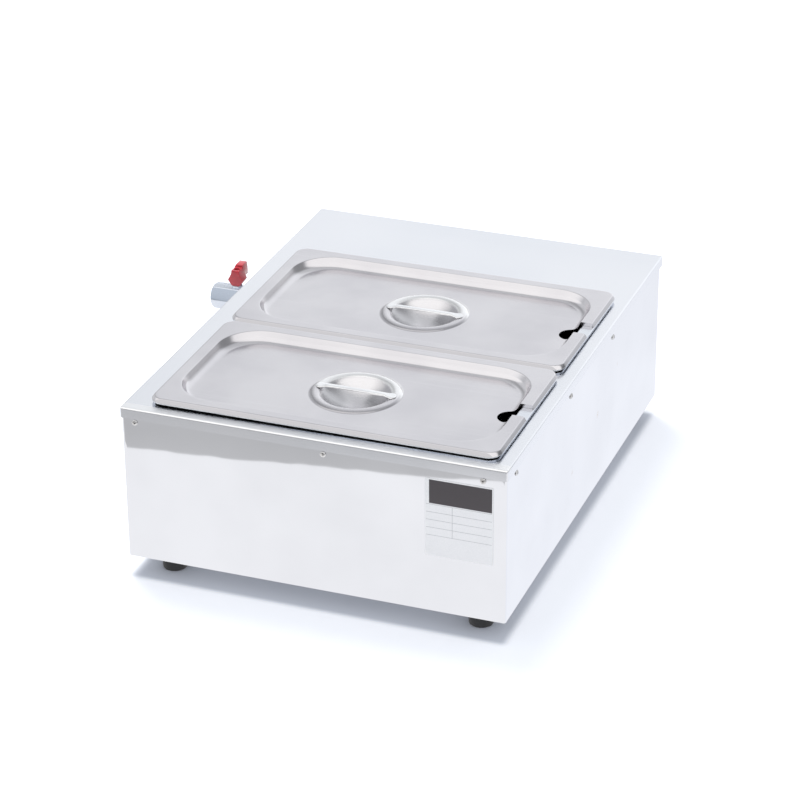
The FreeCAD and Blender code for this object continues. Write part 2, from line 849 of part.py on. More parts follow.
def make_drain_valve_handle():
    # A waisted lever: one outline along the pipe, drawn out across it, hollowed under its far end
    near_y = drain_y - handle_hub_length / 2
    half_outline = [
        (handle_base_width / 2, 0),
        (handle_flare_width / 2, handle_flare_height),
        (handle_neck_width / 2, handle_neck_height),
        (handle_top_width / 2, handle_height),
    ]
    outline = half_outline + [(-x, z) for x, z in reversed(half_outline)]
    outline.append(outline[0])
    corners = [vector(stem_x + x, near_y, handle_base_z + z) for x, z in outline]
    lever = Part.Face(Part.makePolygon(corners)).extrude(along_y * handle_length)
    hub_end = near_y + handle_hub_length
    far_end = near_y + handle_length
    wide = (stem_x - handle_flare_width, stem_x + handle_flare_width)
    hub_top = handle_base_z + handle_hub_height
    hub_step = block(wide, (near_y, hub_end), (hub_top, handle_base_z + handle_height))
    undercut = block(wide, (hub_end, far_end), (handle_base_z, handle_base_z + handle_flare_height))
    lever = lever.cut([hub_step, undercut])
    recess_floor = hub_top - handle_screw_recess - screw_head_height
    recess_start = vector(stem_x, drain_y, recess_floor)
    recess = rod(screw_head_radius * 0.85, hub_top - recess_floor, recess_start, along_z)
    bore = rod(stem_radius, recess_floor - handle_base_z, vector(stem_x, drain_y, handle_base_z), along_z)
    return lever.cut([recess, bore])


def make_drain_handle_screw():
    seat_z = handle_base_z + handle_hub_height - handle_screw_recess - screw_head_height
    seat = vector(stem_x, drain_y, seat_z)
    head = rod(screw_head_radius * 0.8, screw_head_height, seat, along_z)
    shank = rod(screw_radius, screw_head_height * 3, seat - along_z * (screw_head_height * 3), along_z)
    return fuse([head, shank])


def thermostat_screw_points(y):
    return [vector(thermostat_x + side * thermostat_screw_offset, y, control_z) for side in (-1, 1)]


def make_thermostat_body():
    half = thermostat_width / 2
    rise = thermostat_height / 2
    depth_start = control_inside - thermostat_depth
    case = block(
        (thermostat_x - half, thermostat_x + half),
        (depth_start, control_inside),
        (control_z - rise, control_z + rise),
    )
    upright = [edge for edge in case.Edges if edge.BoundBox.YLength > 1]
    case = case.makeFillet(3 * sheet, upright)
    seats = thermostat_screw_points(control_inside)
    bores = [rod(screw_radius, screw_head_radius * 2, seat, along_y * -1) for seat in seats]
    spindle_start = vector(thermostat_x, control_inside, control_z)
    bores.append(rod(spindle_radius + shaft_clearance, spindle_depth, spindle_start, along_y * -1))
    return case.cut(bores)


def make_thermostat_screws():
    outside = control_face + dial_plate_thickness
    seats = thermostat_screw_points(outside)
    return Part.makeCompound([pan_head_screw(seat, along_y * -1, screw_head_radius * 2) for seat in seats])


def make_thermostat_dial_plate():
    start = vector(thermostat_x, control_face, control_z)
    plate = tube(dial_plate_radius, spindle_radius + 2 * sheet, dial_plate_thickness, start, along_y)
    seats = thermostat_screw_points(control_face)
    holes = [rod(screw_radius, dial_plate_thickness, seat, along_y) for seat in seats]
    return plate.cut(holes)


def make_thermostat_spindle():
    start = control_inside - spindle_depth + shaft_clearance
    spindle = rod(spindle_radius, spindle_y - start, vector(thermostat_x, start, control_z), along_y)
    flat = block(
        (thermostat_x - spindle_radius, thermostat_x + spindle_radius),
        (spindle_y - spindle_reach / 2, spindle_y),
        (control_z + spindle_radius / 2, control_z + spindle_radius),
    )
    return spindle.cut(flat)


def make_thermostat_knob():
    start_y = control_face + dial_plate_thickness + knob_gap
    end_y = start_y + knob_height
    profile = [
        (0, start_y),
        (knob_radius, start_y),
        (knob_radius, start_y + knob_skirt * 0.6),
        (knob_top_radius, start_y + knob_skirt),
        (knob_top_radius, end_y),
        (0, end_y),
        (0, start_y),
    ]
    centre = vector(thermostat_x, 0, control_z)
    wire = Part.makePolygon([centre + vector(radius, y, 0) for radius, y in profile])
    knob = Part.Face(wire).revolve(centre, along_y, 360)
    crown = [
        edge for edge in knob.Edges if abs(edge.BoundBox.YMin - end_y) < 1e-4 and edge.BoundBox.YLength < 1e-4
    ]
    knob = knob.makeFillet(2 * sheet, crown)
    # The bar to hold is left between two scooped sides
    scoop_y = start_y + knob_skirt + sheet
    scoops = []
    for side in (-1, 1):
        low = thermostat_x + side * knob_grip_width / 2
        high = thermostat_x + side * 2 * knob_radius
        tall = (control_z - knob_radius, control_z + knob_radius)
        scoops.append(block(sorted((low, high)), (scoop_y, end_y), tall))
    flutes = []
    for number in range(knob_flutes):
        angle = 2 * math.pi * (number + 0.5) / knob_flutes
        flute_x = thermostat_x + knob_radius * math.cos(angle)
        flute_z = control_z + knob_radius * math.sin(angle)
        flutes.append(rod(sheet, knob_skirt, vector(flute_x, start_y, flute_z), along_y))
    base = vector(thermostat_x, start_y, control_z)
    hollow = tube(knob_top_radius, 2 * spindle_radius, knob_skirt * 0.8, base, along_y)
    socket = make_thermostat_spindle()
    return knob.cut(scoops + flutes + [hollow, socket])


def bulb_centre_z():
    return tank_underside - bulb_radius


def make_thermostat_bulb():
    z = bulb_centre_z()
    bulb = rod(bulb_radius, bulb_length, vector(thermostat_x, bulb_end_y - bulb_length, z), along_y)
    case_back = control_inside - thermostat_depth
    clear_y = tank_end_y + sheet + 4 * capillary_radius
    path = [
        vector(thermostat_x, bulb_end_y, z),
        vector(thermostat_x, clear_y, z),
        vector(thermostat_x, clear_y + capillary_bend, z + capillary_drop),
        vector(thermostat_x, case_back, z + capillary_drop),
    ]
    return fuse([bulb, bent_tube(path, capillary_bend * 0.8, capillary_radius)])


def make_bulb_clips():
    clips = []
    z = bulb_centre_z()
    for share in (0.2, 0.8):
        y = bulb_end_y - bulb_length * share - clip_length / 2
        ears = block(
            (thermostat_x - clip_width / 2, thermostat_x + clip_width / 2),
            (y, y + clip_length),
            (tank_underside - sheet, tank_underside),
        )
        hoop = rod(bulb_radius + sheet, clip_length, vector(thermostat_x, y, z), along_y)
        gap = rod(bulb_radius, clip_length, vector(thermostat_x, y, z), along_y)
        throat = block(
            (thermostat_x - bulb_radius, thermostat_x + bulb_radius),
            (y, y + clip_length),
            (z, tank_underside),
        )
        ceiling = block(
            (thermostat_x - clip_width, thermostat_x + clip_width),
            (y, y + clip_length),
            (tank_underside, tank_underside + clip_width),
        )
        clips.append(fuse([ears, hoop]).cut([gap, throat, ceiling]))
    return Part.makeCompound(clips)


def make_power_switch_housing():
    body_half = switch_body_width / 2
    body_rise = switch_body_height / 2
    front = control_face + switch_bezel_thickness
    body = block(
        (switch_x - body_half, switch_x + body_half),
        (control_face - switch_body_depth, control_face),
        (control_z - body_rise, control_z + body_rise),
    )
    bezel = block(
        (switch_x - switch_bezel_width / 2, switch_x + switch_bezel_width / 2),
        (control_face, front),
        (control_z - switch_bezel_height / 2, control_z + switch_bezel_height / 2),
    )
    front_edges = [edge for edge in bezel.Edges if edge.BoundBox.YMin > front - 1e-4]
    bezel = bezel.makeFillet(switch_bezel_thickness * 0.4, front_edges)
    cavity_half = rocker_width / 2 + rocker_clearance
    cavity_rise = rocker_radius + rocker_clearance
    cavity = block(
        (switch_x - cavity_half, switch_x + cavity_half),
        (front - rocker_radius - 2 * rocker_clearance, front),
        (control_z - cavity_rise, control_z + cavity_rise),
    )
    pin_reach = rocker_width / 2 + rocker_pin_length + rocker_clearance
    pin_start = vector(switch_x - pin_reach, rocker_pivot_y(), control_z)
    pins = rod(rocker_pin_radius + shaft_clearance, 2 * pin_reach, pin_start, along_x)
    tabs = [
        block(
            (switch_x - 3 * sheet, switch_x + 3 * sheet),
            (control_face - switch_body_depth - screw_head_radius * 2, control_face - switch_body_depth),
            (z, z + sheet),
        )
        for z in (control_z - body_rise / 2, control_z, control_z + body_rise / 2)
    ]
    return fuse([body, bezel] + tabs).cut([cavity, pins])


def rocker_pivot_y():
    return control_face + switch_bezel_thickness - rocker_face / 2


def make_power_switch_rocker():
    # A slice of a drum about the pivot, with a vee-shaped face, stored with its lower half pressed in
    pivot = vector(switch_x - rocker_width / 2, rocker_pivot_y(), control_z)
    drum = rod(rocker_radius, rocker_width, pivot, along_x)
    slope = math.tan(math.radians(rocker_slope))
    reach = 2 * rocker_radius
    outline = [
        (-rocker_back, -reach),
        (rocker_face + reach * slope, -reach),
        (rocker_face, 0),
        (rocker_face + reach * slope, reach),
        (-rocker_back, reach),
        (-rocker_back, -reach),
    ]
    wire = Part.makePolygon([pivot + vector(0, y, z) for y, z in outline])
    rocker = drum.common(Part.Face(wire).extrude(along_x * rocker_width))
    pin_start = pivot - along_x * rocker_pin_length
    rocker = fuse([rocker, rod(rocker_pin_radius, rocker_width + 2 * rocker_pin_length, pin_start, along_x)])
    rocker.rotate(pivot, along_x, rocker_slope)
    return rocker


def make_pilot_lamp_body():
    start = vector(lamp_x, control_face - lamp_body_length, control_z)
    barrel = tube(lamp_radius, lamp_radius - sheet, lamp_body_length, start, along_y)
    back = rod(lamp_radius - sheet, sheet, start, along_y)
    face_point = vector(lamp_x, control_face, control_z)
    flange = tube(lamp_flange_radius, lamp_radius - sheet, sheet, face_point, along_y)
    return fuse([barrel, back, flange])


def make_pilot_lamp_lens():
    radius = lamp_radius - sheet
    front = control_face + sheet
    shank_length = lamp_body_length / 2
    shank = rod(radius, shank_length, vector(lamp_x, front - shank_length, control_z), along_y)
    cap = rod(radius, lamp_lens_height, vector(lamp_x, front, control_z), along_y)
    lens = fuse([shank, cap])
    crown = [edge for edge in lens.Edges if edge.BoundBox.YMin > front + lamp_lens_height - 1e-4]
    return lens.makeFillet(radius * 0.7, crown)


def make_cable_gland():
    start = vector(gland_x, control_inside - gland_nut_thickness - sheet, gland_z)
    shank = rod(gland_thread_radius, control_face - start.y, start, along_y)
    hex_part = hexagon(gland_flats, gland_hex_length, vector(gland_x, control_face, gland_z), along_y)
    dome_y = control_face + gland_hex_length
    dome_start = vector(gland_x, dome_y, gland_z)
    dome = Part.makeCone(gland_flats / 2, gland_bore_radius * 1.6, gland_dome_length, dome_start, along_y)
    length = dome_y + gland_dome_length - start.y
    return fuse([shank, hex_part, dome]).cut(rod(gland_bore_radius, length, start, along_y))


def make_cable_gland_nut():
    start = vector(gland_x, control_inside - gland_nut_thickness, gland_z)
    nut = hexagon(gland_flats, gland_nut_thickness, start, along_y)
    return nut.cut(rod(gland_thread_radius, gland_nut_thickness, start, along_y))


def make_terminal_block():
    half = block_length / 2
    x_range = (block_x - half, block_x + half)
    base_y = (block_y - block_width / 2, block_y + block_width / 2)
    crest_y = (block_y - block_width / 4, block_y + block_width / 4)
    base = block(x_range, base_y, (plate_level, plate_level + block_height / 2))
    crest = block(x_range, crest_y, (plate_level, plate_level + block_height))
    moulding = fuse([base, crest])
    pole = block_length / block_poles
    holes = []
    for number in range(block_poles):
        x = x_range[0] + pole * (number + 0.5)
        screw_floor = vector(x, block_y, plate_level + block_height * 0.4)
        holes.append(rod(pole * 0.22, block_height * 0.6, screw_floor, along_z))
        wire_start = vector(x, base_y[0], plate_level + block_height / 4)
        holes.append(rod(pole * 0.18, block_width, wire_start, along_y))
    gap_z = (plate_level + block_height * 0.7, plate_level + block_height)
    for number in range(1, block_poles):
        x = x_range[0] + pole * number
        holes.append(block((x - sheet / 2, x + sheet / 2), base_y, gap_z))
    return moulding.cut(holes)


def make_safety_cutout():
    start = vector(cutout_x, tank_end_y + sheet, cutout_z)
    disc = rod(cutout_radius, cutout_height / 2, start, along_y)
    cap = rod(cutout_radius * 0.8, cutout_height, start, along_y)
    ear_half = cutout_radius + 2 * screw_head_radius
    ears = block(
        (cutout_x - ear_half, cutout_x + ear_half),
        (start.y, start.y + sheet),
        (cutout_z - screw_head_radius, cutout_z + screw_head_radius),
    )
    tab_y = (start.y, start.y + cutout_height * 1.8)
    tab_z = (cutout_z - cutout_tab_width / 2, cutout_z + cutout_tab_width / 2)
    tabs = [
        block((x - sheet / 2, x + sheet / 2), tab_y, tab_z)
        for x in (cutout_x - cutout_radius / 2, cutout_x + cutout_radius / 2)
    ]
    return fuse([disc, cap, ears] + tabs)


def make_foot(place):
    body = Part.makeCone(foot_base_radius, foot_radius, floor_top, place, along_z)
    rim = [edge for edge in body.Edges if edge.BoundBox.ZMax < 1e-4]
    body = body.makeFillet(sheet, [edge for edge in rim if isinstance(edge.Curve, Part.Circle)])
    hollow = rod(foot_hollow_radius, foot_hollow_depth, place, along_z)
    hole = rod(screw_radius, floor_top, place, along_z)
    return body.cut([hollow, hole])


def make_foot_screws():
    length = plate_level + foot_screw_grip - foot_hollow_depth
    seats = [place + along_z * foot_hollow_depth for place in foot_places().values()]
    return Part.makeCompound([pan_head_screw(seat, along_z, length) for seat in seats])


def make_foot_nuts():
    nuts = []
    for place in foot_places().values():
        start = place + along_z * plate_level
        nut = hexagon(foot_nut_flats, foot_nut_height, start, along_z)
        nuts.append(nut.cut(rod(screw_radius, foot_nut_height, start, along_z)))
    return Part.makeCompound(nuts)


def make_rating_plate():
    depth = (near_face - plate_thickness, near_face)
    return block((plate_left, plate_right), depth, (plate_bottom, plate_top))


shapes = {
    "top_cover": make_top_cover(),
    "body_shell": make_body_shell(),
    "control_panel": make_control_panel(),
    "base_plate": make_base_plate(),
    "cover_brackets": make_cover_brackets(),
    "cover_screws": Part.makeCompound(
        [pan_head_screw(seat, way, cover_screw_length) for seat, way in cover_screw_seats()]
    ),
    "base_screws": Part.makeCompound(
        [pan_head_screw(seat, along_z, base_screw_length) for seat in base_screw_seats()]
    ),
    "foot_screws": make_foot_screws(),
    "foot_nuts": make_foot_nuts(),
    "water_tank": make_water_tank(),
    "near_pan": make_pan(near_pan_y),
    "far_pan": make_pan(far_pan_y),
    "near_lid": make_lid(near_pan_y),
    "far_lid": make_lid(far_pan_y),
    "near_lid_handle": make_lid_handle(near_pan_y),
    "far_lid_handle": make_lid_handle(far_pan_y),
    "heating_element": make_heating_element(),
    "element_nuts": make_element_nuts(),
    "element_clips": make_element_clips(),
    "drain_pipe": make_drain_pipe(),
    "drain_lock_nut": make_drain_lock_nut(),
    "drain_valve_body": make_drain_valve_body(),
    "drain_valve_seats": make_drain_valve_seats(),
    "drain_valve_insert": make_drain_valve_insert(),
    "drain_valve_ball": make_drain_valve_ball(),
    "drain_valve_stem": make_drain_valve_stem(),
    "drain_gland_nut": make_drain_gland_nut(),
    "drain_valve_handle": make_drain_valve_handle(),
    "drain_handle_screw": make_drain_handle_screw(),
    "thermostat_body": make_thermostat_body(),
    "thermostat_screws": make_thermostat_screws(),
    "thermostat_dial_plate": make_thermostat_dial_plate(),
    "thermostat_spindle": make_thermostat_spindle(),
    "thermostat_knob": make_thermostat_knob(),
    "thermostat_bulb": make_thermostat_bulb(),
    "bulb_clips": make_bulb_clips(),
    "power_switch_housing": make_power_switch_housing(),
    "power_switch_rocker": make_power_switch_rocker(),
    "pilot_lamp_body": make_pilot_lamp_body(),
    "pilot_lamp_lens": make_pilot_lamp_lens(),
    "cable_gland": make_cable_gland(),
    "cable_gland_nut": make_cable_gland_nut(),
    "terminal_block": make_terminal_block(),
    "safety_cutout": make_safety_cutout(),
    "rating_plate": make_rating_plate(),
}
for foot_name, foot_place in foot_places().items():
    shapes[foot_name] = make_foot(foot_place)

footprint = Part.makeCompound(list(shapes.values())).BoundBox
to_middle = vector(-footprint.Center.x, -footprint.Center.y, 0)

os.makedirs("parts", exist_ok=True)
for name, shape in shapes.items():
    shape.translate(to_middle)
    shape.exportStep("parts/" + name + ".step")
    print(name, "solids", len(shape.Solids), "valid", shape.isValid(), "volume", round(shape.Volume, 1))
print("moved by", round(to_middle.x, 3), round(to_middle.y, 3))
print("size", round(footprint.XLength, 2), round(footprint.YLength, 2), round(footprint.ZLength, 2))
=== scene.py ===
import json
import math

import bmesh
import bpy
from mathutils import Matrix, Vector
from mathutils.bvhtree import BVHTree


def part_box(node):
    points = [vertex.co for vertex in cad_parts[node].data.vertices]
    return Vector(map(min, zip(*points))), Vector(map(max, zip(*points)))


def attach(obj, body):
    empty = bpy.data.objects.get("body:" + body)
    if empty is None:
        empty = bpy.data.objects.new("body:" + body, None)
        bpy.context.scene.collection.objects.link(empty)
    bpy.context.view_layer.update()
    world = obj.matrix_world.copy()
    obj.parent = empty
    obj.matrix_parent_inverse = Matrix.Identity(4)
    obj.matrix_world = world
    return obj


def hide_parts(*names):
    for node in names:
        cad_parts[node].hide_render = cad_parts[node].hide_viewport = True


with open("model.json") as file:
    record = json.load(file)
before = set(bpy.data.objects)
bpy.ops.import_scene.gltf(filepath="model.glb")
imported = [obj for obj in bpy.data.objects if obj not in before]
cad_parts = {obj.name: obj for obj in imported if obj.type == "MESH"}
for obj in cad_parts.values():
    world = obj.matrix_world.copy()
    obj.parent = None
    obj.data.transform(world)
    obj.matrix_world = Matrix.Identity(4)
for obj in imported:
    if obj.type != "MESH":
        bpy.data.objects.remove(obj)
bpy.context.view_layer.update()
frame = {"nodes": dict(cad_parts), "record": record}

# Electric chocolate melter: polished cabinet, two pans with notched lids, drain valve at the left.
# Sizes in the dictionaries are millimetres, from the middle of the deck's near edge at floor level.

coverLow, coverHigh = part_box("top_cover")
origin = Vector(((coverLow.x + coverHigh.x) / 2, coverLow.y, 0))
bodies = frame["record"]["behaviour"]["bodies"]
bodyOf = {node: body for body, nodes in bodies.items() for node in nodes}
panRow = {"middleX": 4.5, "centres": {"near": 100.0, "far": 278.5}}


def at(x, y, z):
    return origin + Vector((x, y, z)) / 1000


# shader and geometry wiring

class Wire:
    # a socket that can be used in sums; every other node comes from node()
    def __init__(self, socket):
        self.socket = socket
        self.tree = socket.id_data

    def node(self, kind, settings=None, feeds=None, out=0):
        made = self.tree.nodes.new(kind)
        for name, value in (settings or {}).items():
            setattr(made, name, value)
        for name, value in (feeds or {}).items():
            if isinstance(value, Wire):
                self.tree.links.new(value.socket, made.inputs[name])
            else:
                made.inputs[name].default_value = value
        return Wire(made.outputs[out])

    def maths(self, operation, second=0.0, first=None):
        feeds = {0: self if first is None else first, 1: second}
        return self.node("ShaderNodeMath", {"operation": operation}, feeds)

    def __add__(self, other):
        return self.maths("ADD", other)

    def __sub__(self, other):
        return self.maths("SUBTRACT", other)

    def __rsub__(self, other):
        return self.maths("SUBTRACT", self, other)

    def __mul__(self, other):
        return self.maths("MULTIPLY", other)

    def __truediv__(self, other):
        return self.maths("DIVIDE", other)

    def __pow__(self, other):
        return self.maths("POWER", other)

    __radd__ = __add__
    __rmul__ = __mul__

    def rise(self, low, high):
        # 0 below low, 1 above high, smooth between; low may be above high
        settings = {"interpolation_type": "SMOOTHSTEP"}
        return self.node("ShaderNodeMapRange", settings, {"Value": self, "From Min": low, "From Max": high})

    def vector(self, x, y, z):
        return self.node("ShaderNodeCombineXYZ", None, {0: x, 1: y, 2: z})

    def split(self):
        made = self.tree.nodes.new("ShaderNodeSeparateXYZ")
        self.tree.links.new(self.socket, made.inputs[0])
        return [Wire(socket) for socket in made.outputs]

    def drawing(self):
        # a point's x, y and z in the dictionaries' millimetres
        x, y, z = self.split()
        return (x - origin.x) * 1000, (y - origin.y) * 1000, z * 1000

    def noise(self, scale, detail=2.0, stretch=(1, 1, 1)):
        spread = self.node("ShaderNodeMapping", None, {"Vector": self, "Scale": stretch})
        return self.node("ShaderNodeTexNoise", None, {"Vector": spread, "Scale": scale, "Detail": detail})

    def away(self, centre):
        settings = {"operation": "DISTANCE"}
        return self.node("ShaderNodeVectorMath", settings, {0: self, 1: centre}, "Value")

    def blend(self, first, second):
        return self.node("ShaderNodeMix", {"data_type": "RGBA"}, {0: self, 6: first, 7: second}, 2)

    def tones(self, first, second):
        return self.blend(hexColour(first), hexColour(second))

    def bump(self, distance, strength=0.5):
        return self.node("ShaderNodeBump", None, {"Height": self, "Distance": distance, "Strength": strength})


def hexColour(text):
    levels = [int(text[i:i + 2], 16) / 255 for i in (0, 2, 4)]
    return tuple(c / 12.92 if c <= 0.04045 else ((c + 0.055) / 1.055) ** 2.4 for c in levels) + (1.0,)


def total(wires):
    return sum(wires[1:], wires[0])


class Finish:
    # a Principled material, its object coordinates and what feeds its sockets
    sockets = {"colour": "Base Color", "roughness": "Roughness", "normal": "Normal", "glow": "Emission Color"}

    def __init__(self, name, fixed):
        self.material = bpy.data.materials.new(name)
        self.material.use_nodes = True
        self.shader = self.material.node_tree.nodes["Principled BSDF"]
        for socket, value in fixed.items():
            self.shader.inputs[socket].default_value = value
        self.point = Wire(self.shader.outputs[0]).node("ShaderNodeTexCoord", out="Object")

    def feed(self, **wires):
        for name, wire in wires.items():
            self.material.node_tree.links.new(wire.socket, self.shader.inputs[self.sockets[name]])
        return self.material


# finishes: polished cabinet and grained deck

cabinetSteel = {
    "tone": "ECEDF1", "shade": "E5E6EA", "roughness": 0.02, "stainStrength": 0.8, "smudgeStrength": 0.16,
    "stains": [((180, 268, 96), 5, "C9B9A4"), ((180, 190, 74), 4, "C4B49E"), ((180, 330, 120), 3, "D0C2AE")],
    "smudges": [((-132, 0, 70), 9), ((-142, 0, 60), 7), ((60, 0, 52), 12)],
}


def polishedSteel():
    finish = Finish("polished_steel", {"Metallic": 1.0})
    point = finish.point
    colour = point.noise(9, 3).rise(0.3, 0.75).tones(cabinetSteel["tone"], cabinetSteel["shade"])
    for centre, size, tone in cabinetSteel["stains"]:
        mark = point.away(at(*centre)).rise(size * 0.001, size * 0.0002) * point.noise(900, 2).rise(0.4, 0.7)
        colour = (mark * cabinetSteel["stainStrength"]).blend(colour, hexColour(tone))
    rough = point.noise(1400, 2, (1, 1, 0.02)) * 0.03 + cabinetSteel["roughness"]
    for centre, size in cabinetSteel["smudges"]:
        mark = point.away(at(*centre)).rise(size * 0.0014, size * 0.0004) * point.noise(160, 3)
        rough = rough + mark * cabinetSteel["smudgeStrength"]
    waves = point.noise(7, 1) * 0.9 + point.noise(36, 1) * 0.08
    return finish.feed(colour=colour, roughness=rough, normal=waves.bump(0.0016, 0.35))


deckFinish = {"tone": "EBECF0", "shade": "E4E6EB", "strip": "FDFDFE", "reflectionStripWidth": 9.0, "roughness": 0.12}


def deckSteel():
    # the mill's grain runs across the deck; the band before the near lid is painted near white, a painted reflection,
    # and made rougher
    finish = Finish("deck_steel", {"Metallic": 1.0})
    point = finish.point
    colour = point.noise(5, 3).rise(0.3, 0.8).tones(deckFinish["tone"], deckFinish["shade"])
    x, y, z = point.drawing()
    strip = y.rise(deckFinish["reflectionStripWidth"] + 2.5, deckFinish["reflectionStripWidth"]) * z.rise(168.4, 169.4)
    colour = (strip * 0.9).blend(colour, hexColour(deckFinish["strip"]))
    grain = point.noise(2600, 2, (0.012, 1, 1))
    rough = grain * 0.08 + point.noise(60, 3) * 0.05 + strip * 0.22 + deckFinish["roughness"]
    waves = point.noise(6, 1) * 0.8 + grain * 0.004
    return finish.feed(colour=colour, roughness=rough, normal=waves.bump(0.0014, 0.3))


# finishes: lids and pans

lidFinish = {"tone": "D9D7DA", "shade": "CECCD0", "scratch": "E4E3E6", "fan": "8E8D92", "bright": "FAFAFA",
             "edge": "BBBABE", "roughness": 0.15, "dish": 41.5, "bowl": 31.8, "fanWay": (0.94, 0.34),
             "edgeX": 160.1, "edgeY": 85.6, "sideShadeStrength": 0.62, "highlightStrength": 0.8}


def beyond(x, y, halfX, halfY):
    # how far outside a rectangle about each pan's middle
    near, far = [(y - centre).maths("ABSOLUTE") for centre in panRow["centres"].values()]
    across = near.maths("MINIMUM", far) - halfY
    return across.maths("MAXIMUM", (x - panRow["middleX"]).maths("ABSOLUTE") - halfX)


def lidSteel():
    finish = Finish("lid_steel", {"Metallic": 1.0})
    point = finish.point
    grain = point.noise(1500, 3, (0.02, 1, 1))
    scratches = point.noise(500, 2, (0.01, 1, 0.3)).rise(0.62, 0.74)
    colour = point.noise(14, 3).rise(0.3, 0.75).tones(lidFinish["tone"], lidFinish["shade"])
    colour = (scratches * 0.25).blend(colour, hexColour(lidFinish["scratch"]))
    x, y, z = point.drawing()
    dish, bowl = lidFinish["dish"], lidFinish["bowl"]
    dishes, rings, sideShades, highlights = [], [], [], []
    for centreY in panRow["centres"].values():
        alongX, alongY = x - panRow["middleX"], y - centreY
        away = point.vector(alongX, alongY, 0.0).away((0, 0, 0))
        dishes.append(away.rise(dish, dish - 1))
        rings.append(point.vector(away, 0.0, 0.0).noise(2.2, 2) * dishes[-1])
        # painted shade: the bowl's left and right sides are painted darker, in place of the spun finish's sideways
        # reflection
        sideways = alongX * lidFinish["fanWay"][0] + alongY * lidFinish["fanWay"][1]
        share = sideways.maths("ABSOLUTE") / away.maths("MAXIMUM", 4.0)
        inBowl = away.rise(bowl, bowl - 1.4) * away.rise(4, 16)
        farSide = alongY.rise(-10, 14)
        onRing = away.rise(dish + 1, dish) * away.rise(bowl - 0.6, bowl + 0.4)
        # painted highlight: the ring's far side and the bowl's middle are painted near white
        highlights.append(onRing * farSide + inBowl * (1 - farSide * 0.75))
        # painted shade along the ring's edges, except on the far side
        outline = away.rise(dish - 3, dish - 1.5) * away.rise(dish + 1.5, dish + 0.5) * (1 - farSide)
        sideShades.append(share.rise(0.45, 0.95) * inBowl + outline * 0.8)
    inDish = total(dishes)
    height = grain * 0.6 * (1 - inDish) + total(rings) * 8
    colour = (total(highlights) * lidFinish["highlightStrength"]).blend(colour, hexColour(lidFinish["bright"]))
    # painted shade: the lid's outer slope is painted darker
    edge = beyond(x, y, lidFinish["edgeX"], lidFinish["edgeY"]).rise(0.0, 0.6)
    colour = edge.blend(colour, hexColour(lidFinish["edge"]))
    colour = (total(sideShades) * lidFinish["sideShadeStrength"]).blend(colour, hexColour(lidFinish["fan"]))
    rough = grain * 0.10 + lidFinish["roughness"] + inDish * 0.06
    return finish.feed(colour=colour, roughness=rough, normal=height.bump(0.00003))


panFinish = {"tone": "E4E7EC", "shade": "D6DAE1", "creviceShade": "0F1012", "roughness": 0.10,
             "creviceShadeTop": 172.35, "thinner": 1.1, "reachX": 154.0, "reachY": 79.5}


def panSteel():
    finish = Finish("pan_steel", {"Metallic": 1.0})
    point = finish.point
    grain = point.noise(900, 3, (1, 1, 0.05))
    colour = point.noise(22, 3).rise(0.3, 0.75).tones(panFinish["tone"], panFinish["shade"])
    # the rim's side and the gap under it are painted near black, a painted shade that thins towards the right
    x, y, z = point.drawing()
    top = panFinish["creviceShadeTop"]
    low = (z + x.rise(-160, 158) * panFinish["thinner"]).rise(top, top - 0.4)
    reach = beyond(x, y, panFinish["reachX"], panFinish["reachY"])
    creviceShade = reach.rise(0.0, 0.8) * low * z.rise(169.0, 169.8)
    colour = creviceShade.blend(colour, hexColour(panFinish["creviceShade"]))
    rough = grain * 0.12 + creviceShade * 0.4 + panFinish["roughness"]
    return finish.feed(colour=colour, roughness=rough, normal=grain.bump(0.00002))


# other finishes

def plainSteel(name, tone, shade, roughness, grainScale=900, stretch=(1, 1, 1), facetShade=None):
    finish = Finish(name, {"Metallic": 1.0})
    point = finish.point
    grain = point.noise(grainScale, 3, stretch)
    cloud = point.noise(22, 3).rise(0.3, 0.75)
    colour = cloud.tones(tone, shade)
    if facetShade:
        mask, dull = facetShade(*point.drawing())
        colour = mask.blend(colour, hexColour(dull))
    rough = grain * 0.14 + cloud * 0.05 + roughness - 0.08
    return finish.feed(colour=colour, roughness=rough, normal=grain.bump(0.00002))


valveFlat = {"dull": "A9B2C0", "low": 104.0, "high": 115.3, "near": 373.8}


def valveFacetShade(x, y, z):
    # painted shade: the valve body's upper near flat is painted darker than the rest
    low, high, near = valveFlat["low"], valveFlat["high"], valveFlat["near"]
    return z.rise(low, low + 0.6) * z.rise(high, high - 0.4) * y.rise(near, near - 0.8), valveFlat["dull"]


def moulded(name, tone, shade, roughness, grainScale=1400, coat=0.0, depth=0.00004):
    finish = Finish(name, {"Coat Weight": coat, "Coat Roughness": 0.12})
    grain = finish.point.noise(grainScale, 3)
    colour = finish.point.noise(60, 3).rise(0.3, 0.75).tones(tone, shade)
    return finish.feed(colour=colour, roughness=grain * 0.12 + roughness - 0.06, normal=grain.bump(depth))


def lensFinish(name, tone, glow):
    finish = Finish(name, {"Coat Weight": 0.6, "Emission Strength": 0.25})
    ribs = finish.point.noise(500, 1)
    colour = ribs.rise(0.3, 0.7).tones(tone, glow)
    return finish.feed(colour=colour, glow=colour, roughness=ribs * 0.1 + 0.1, normal=ribs.bump(0.00008, 0.4))


plate = {"left": 105, "right": 167, "bottom": 76, "top": 151, "front": 0.8, "thickness": 0.4, "corner": 1.0,
         "edge": 1.2, "bandBottom": 127, "bandLeft": 109, "divider": 130, "rows": (126.0, 118.5, 111.0, 103.5, 96.0),
         "line": 0.36, "lineStrength": 0.55, "soft": 0.12, "ink": "4A4446", "paper": "F5F2EF", "fibre": "EDEBE8"}


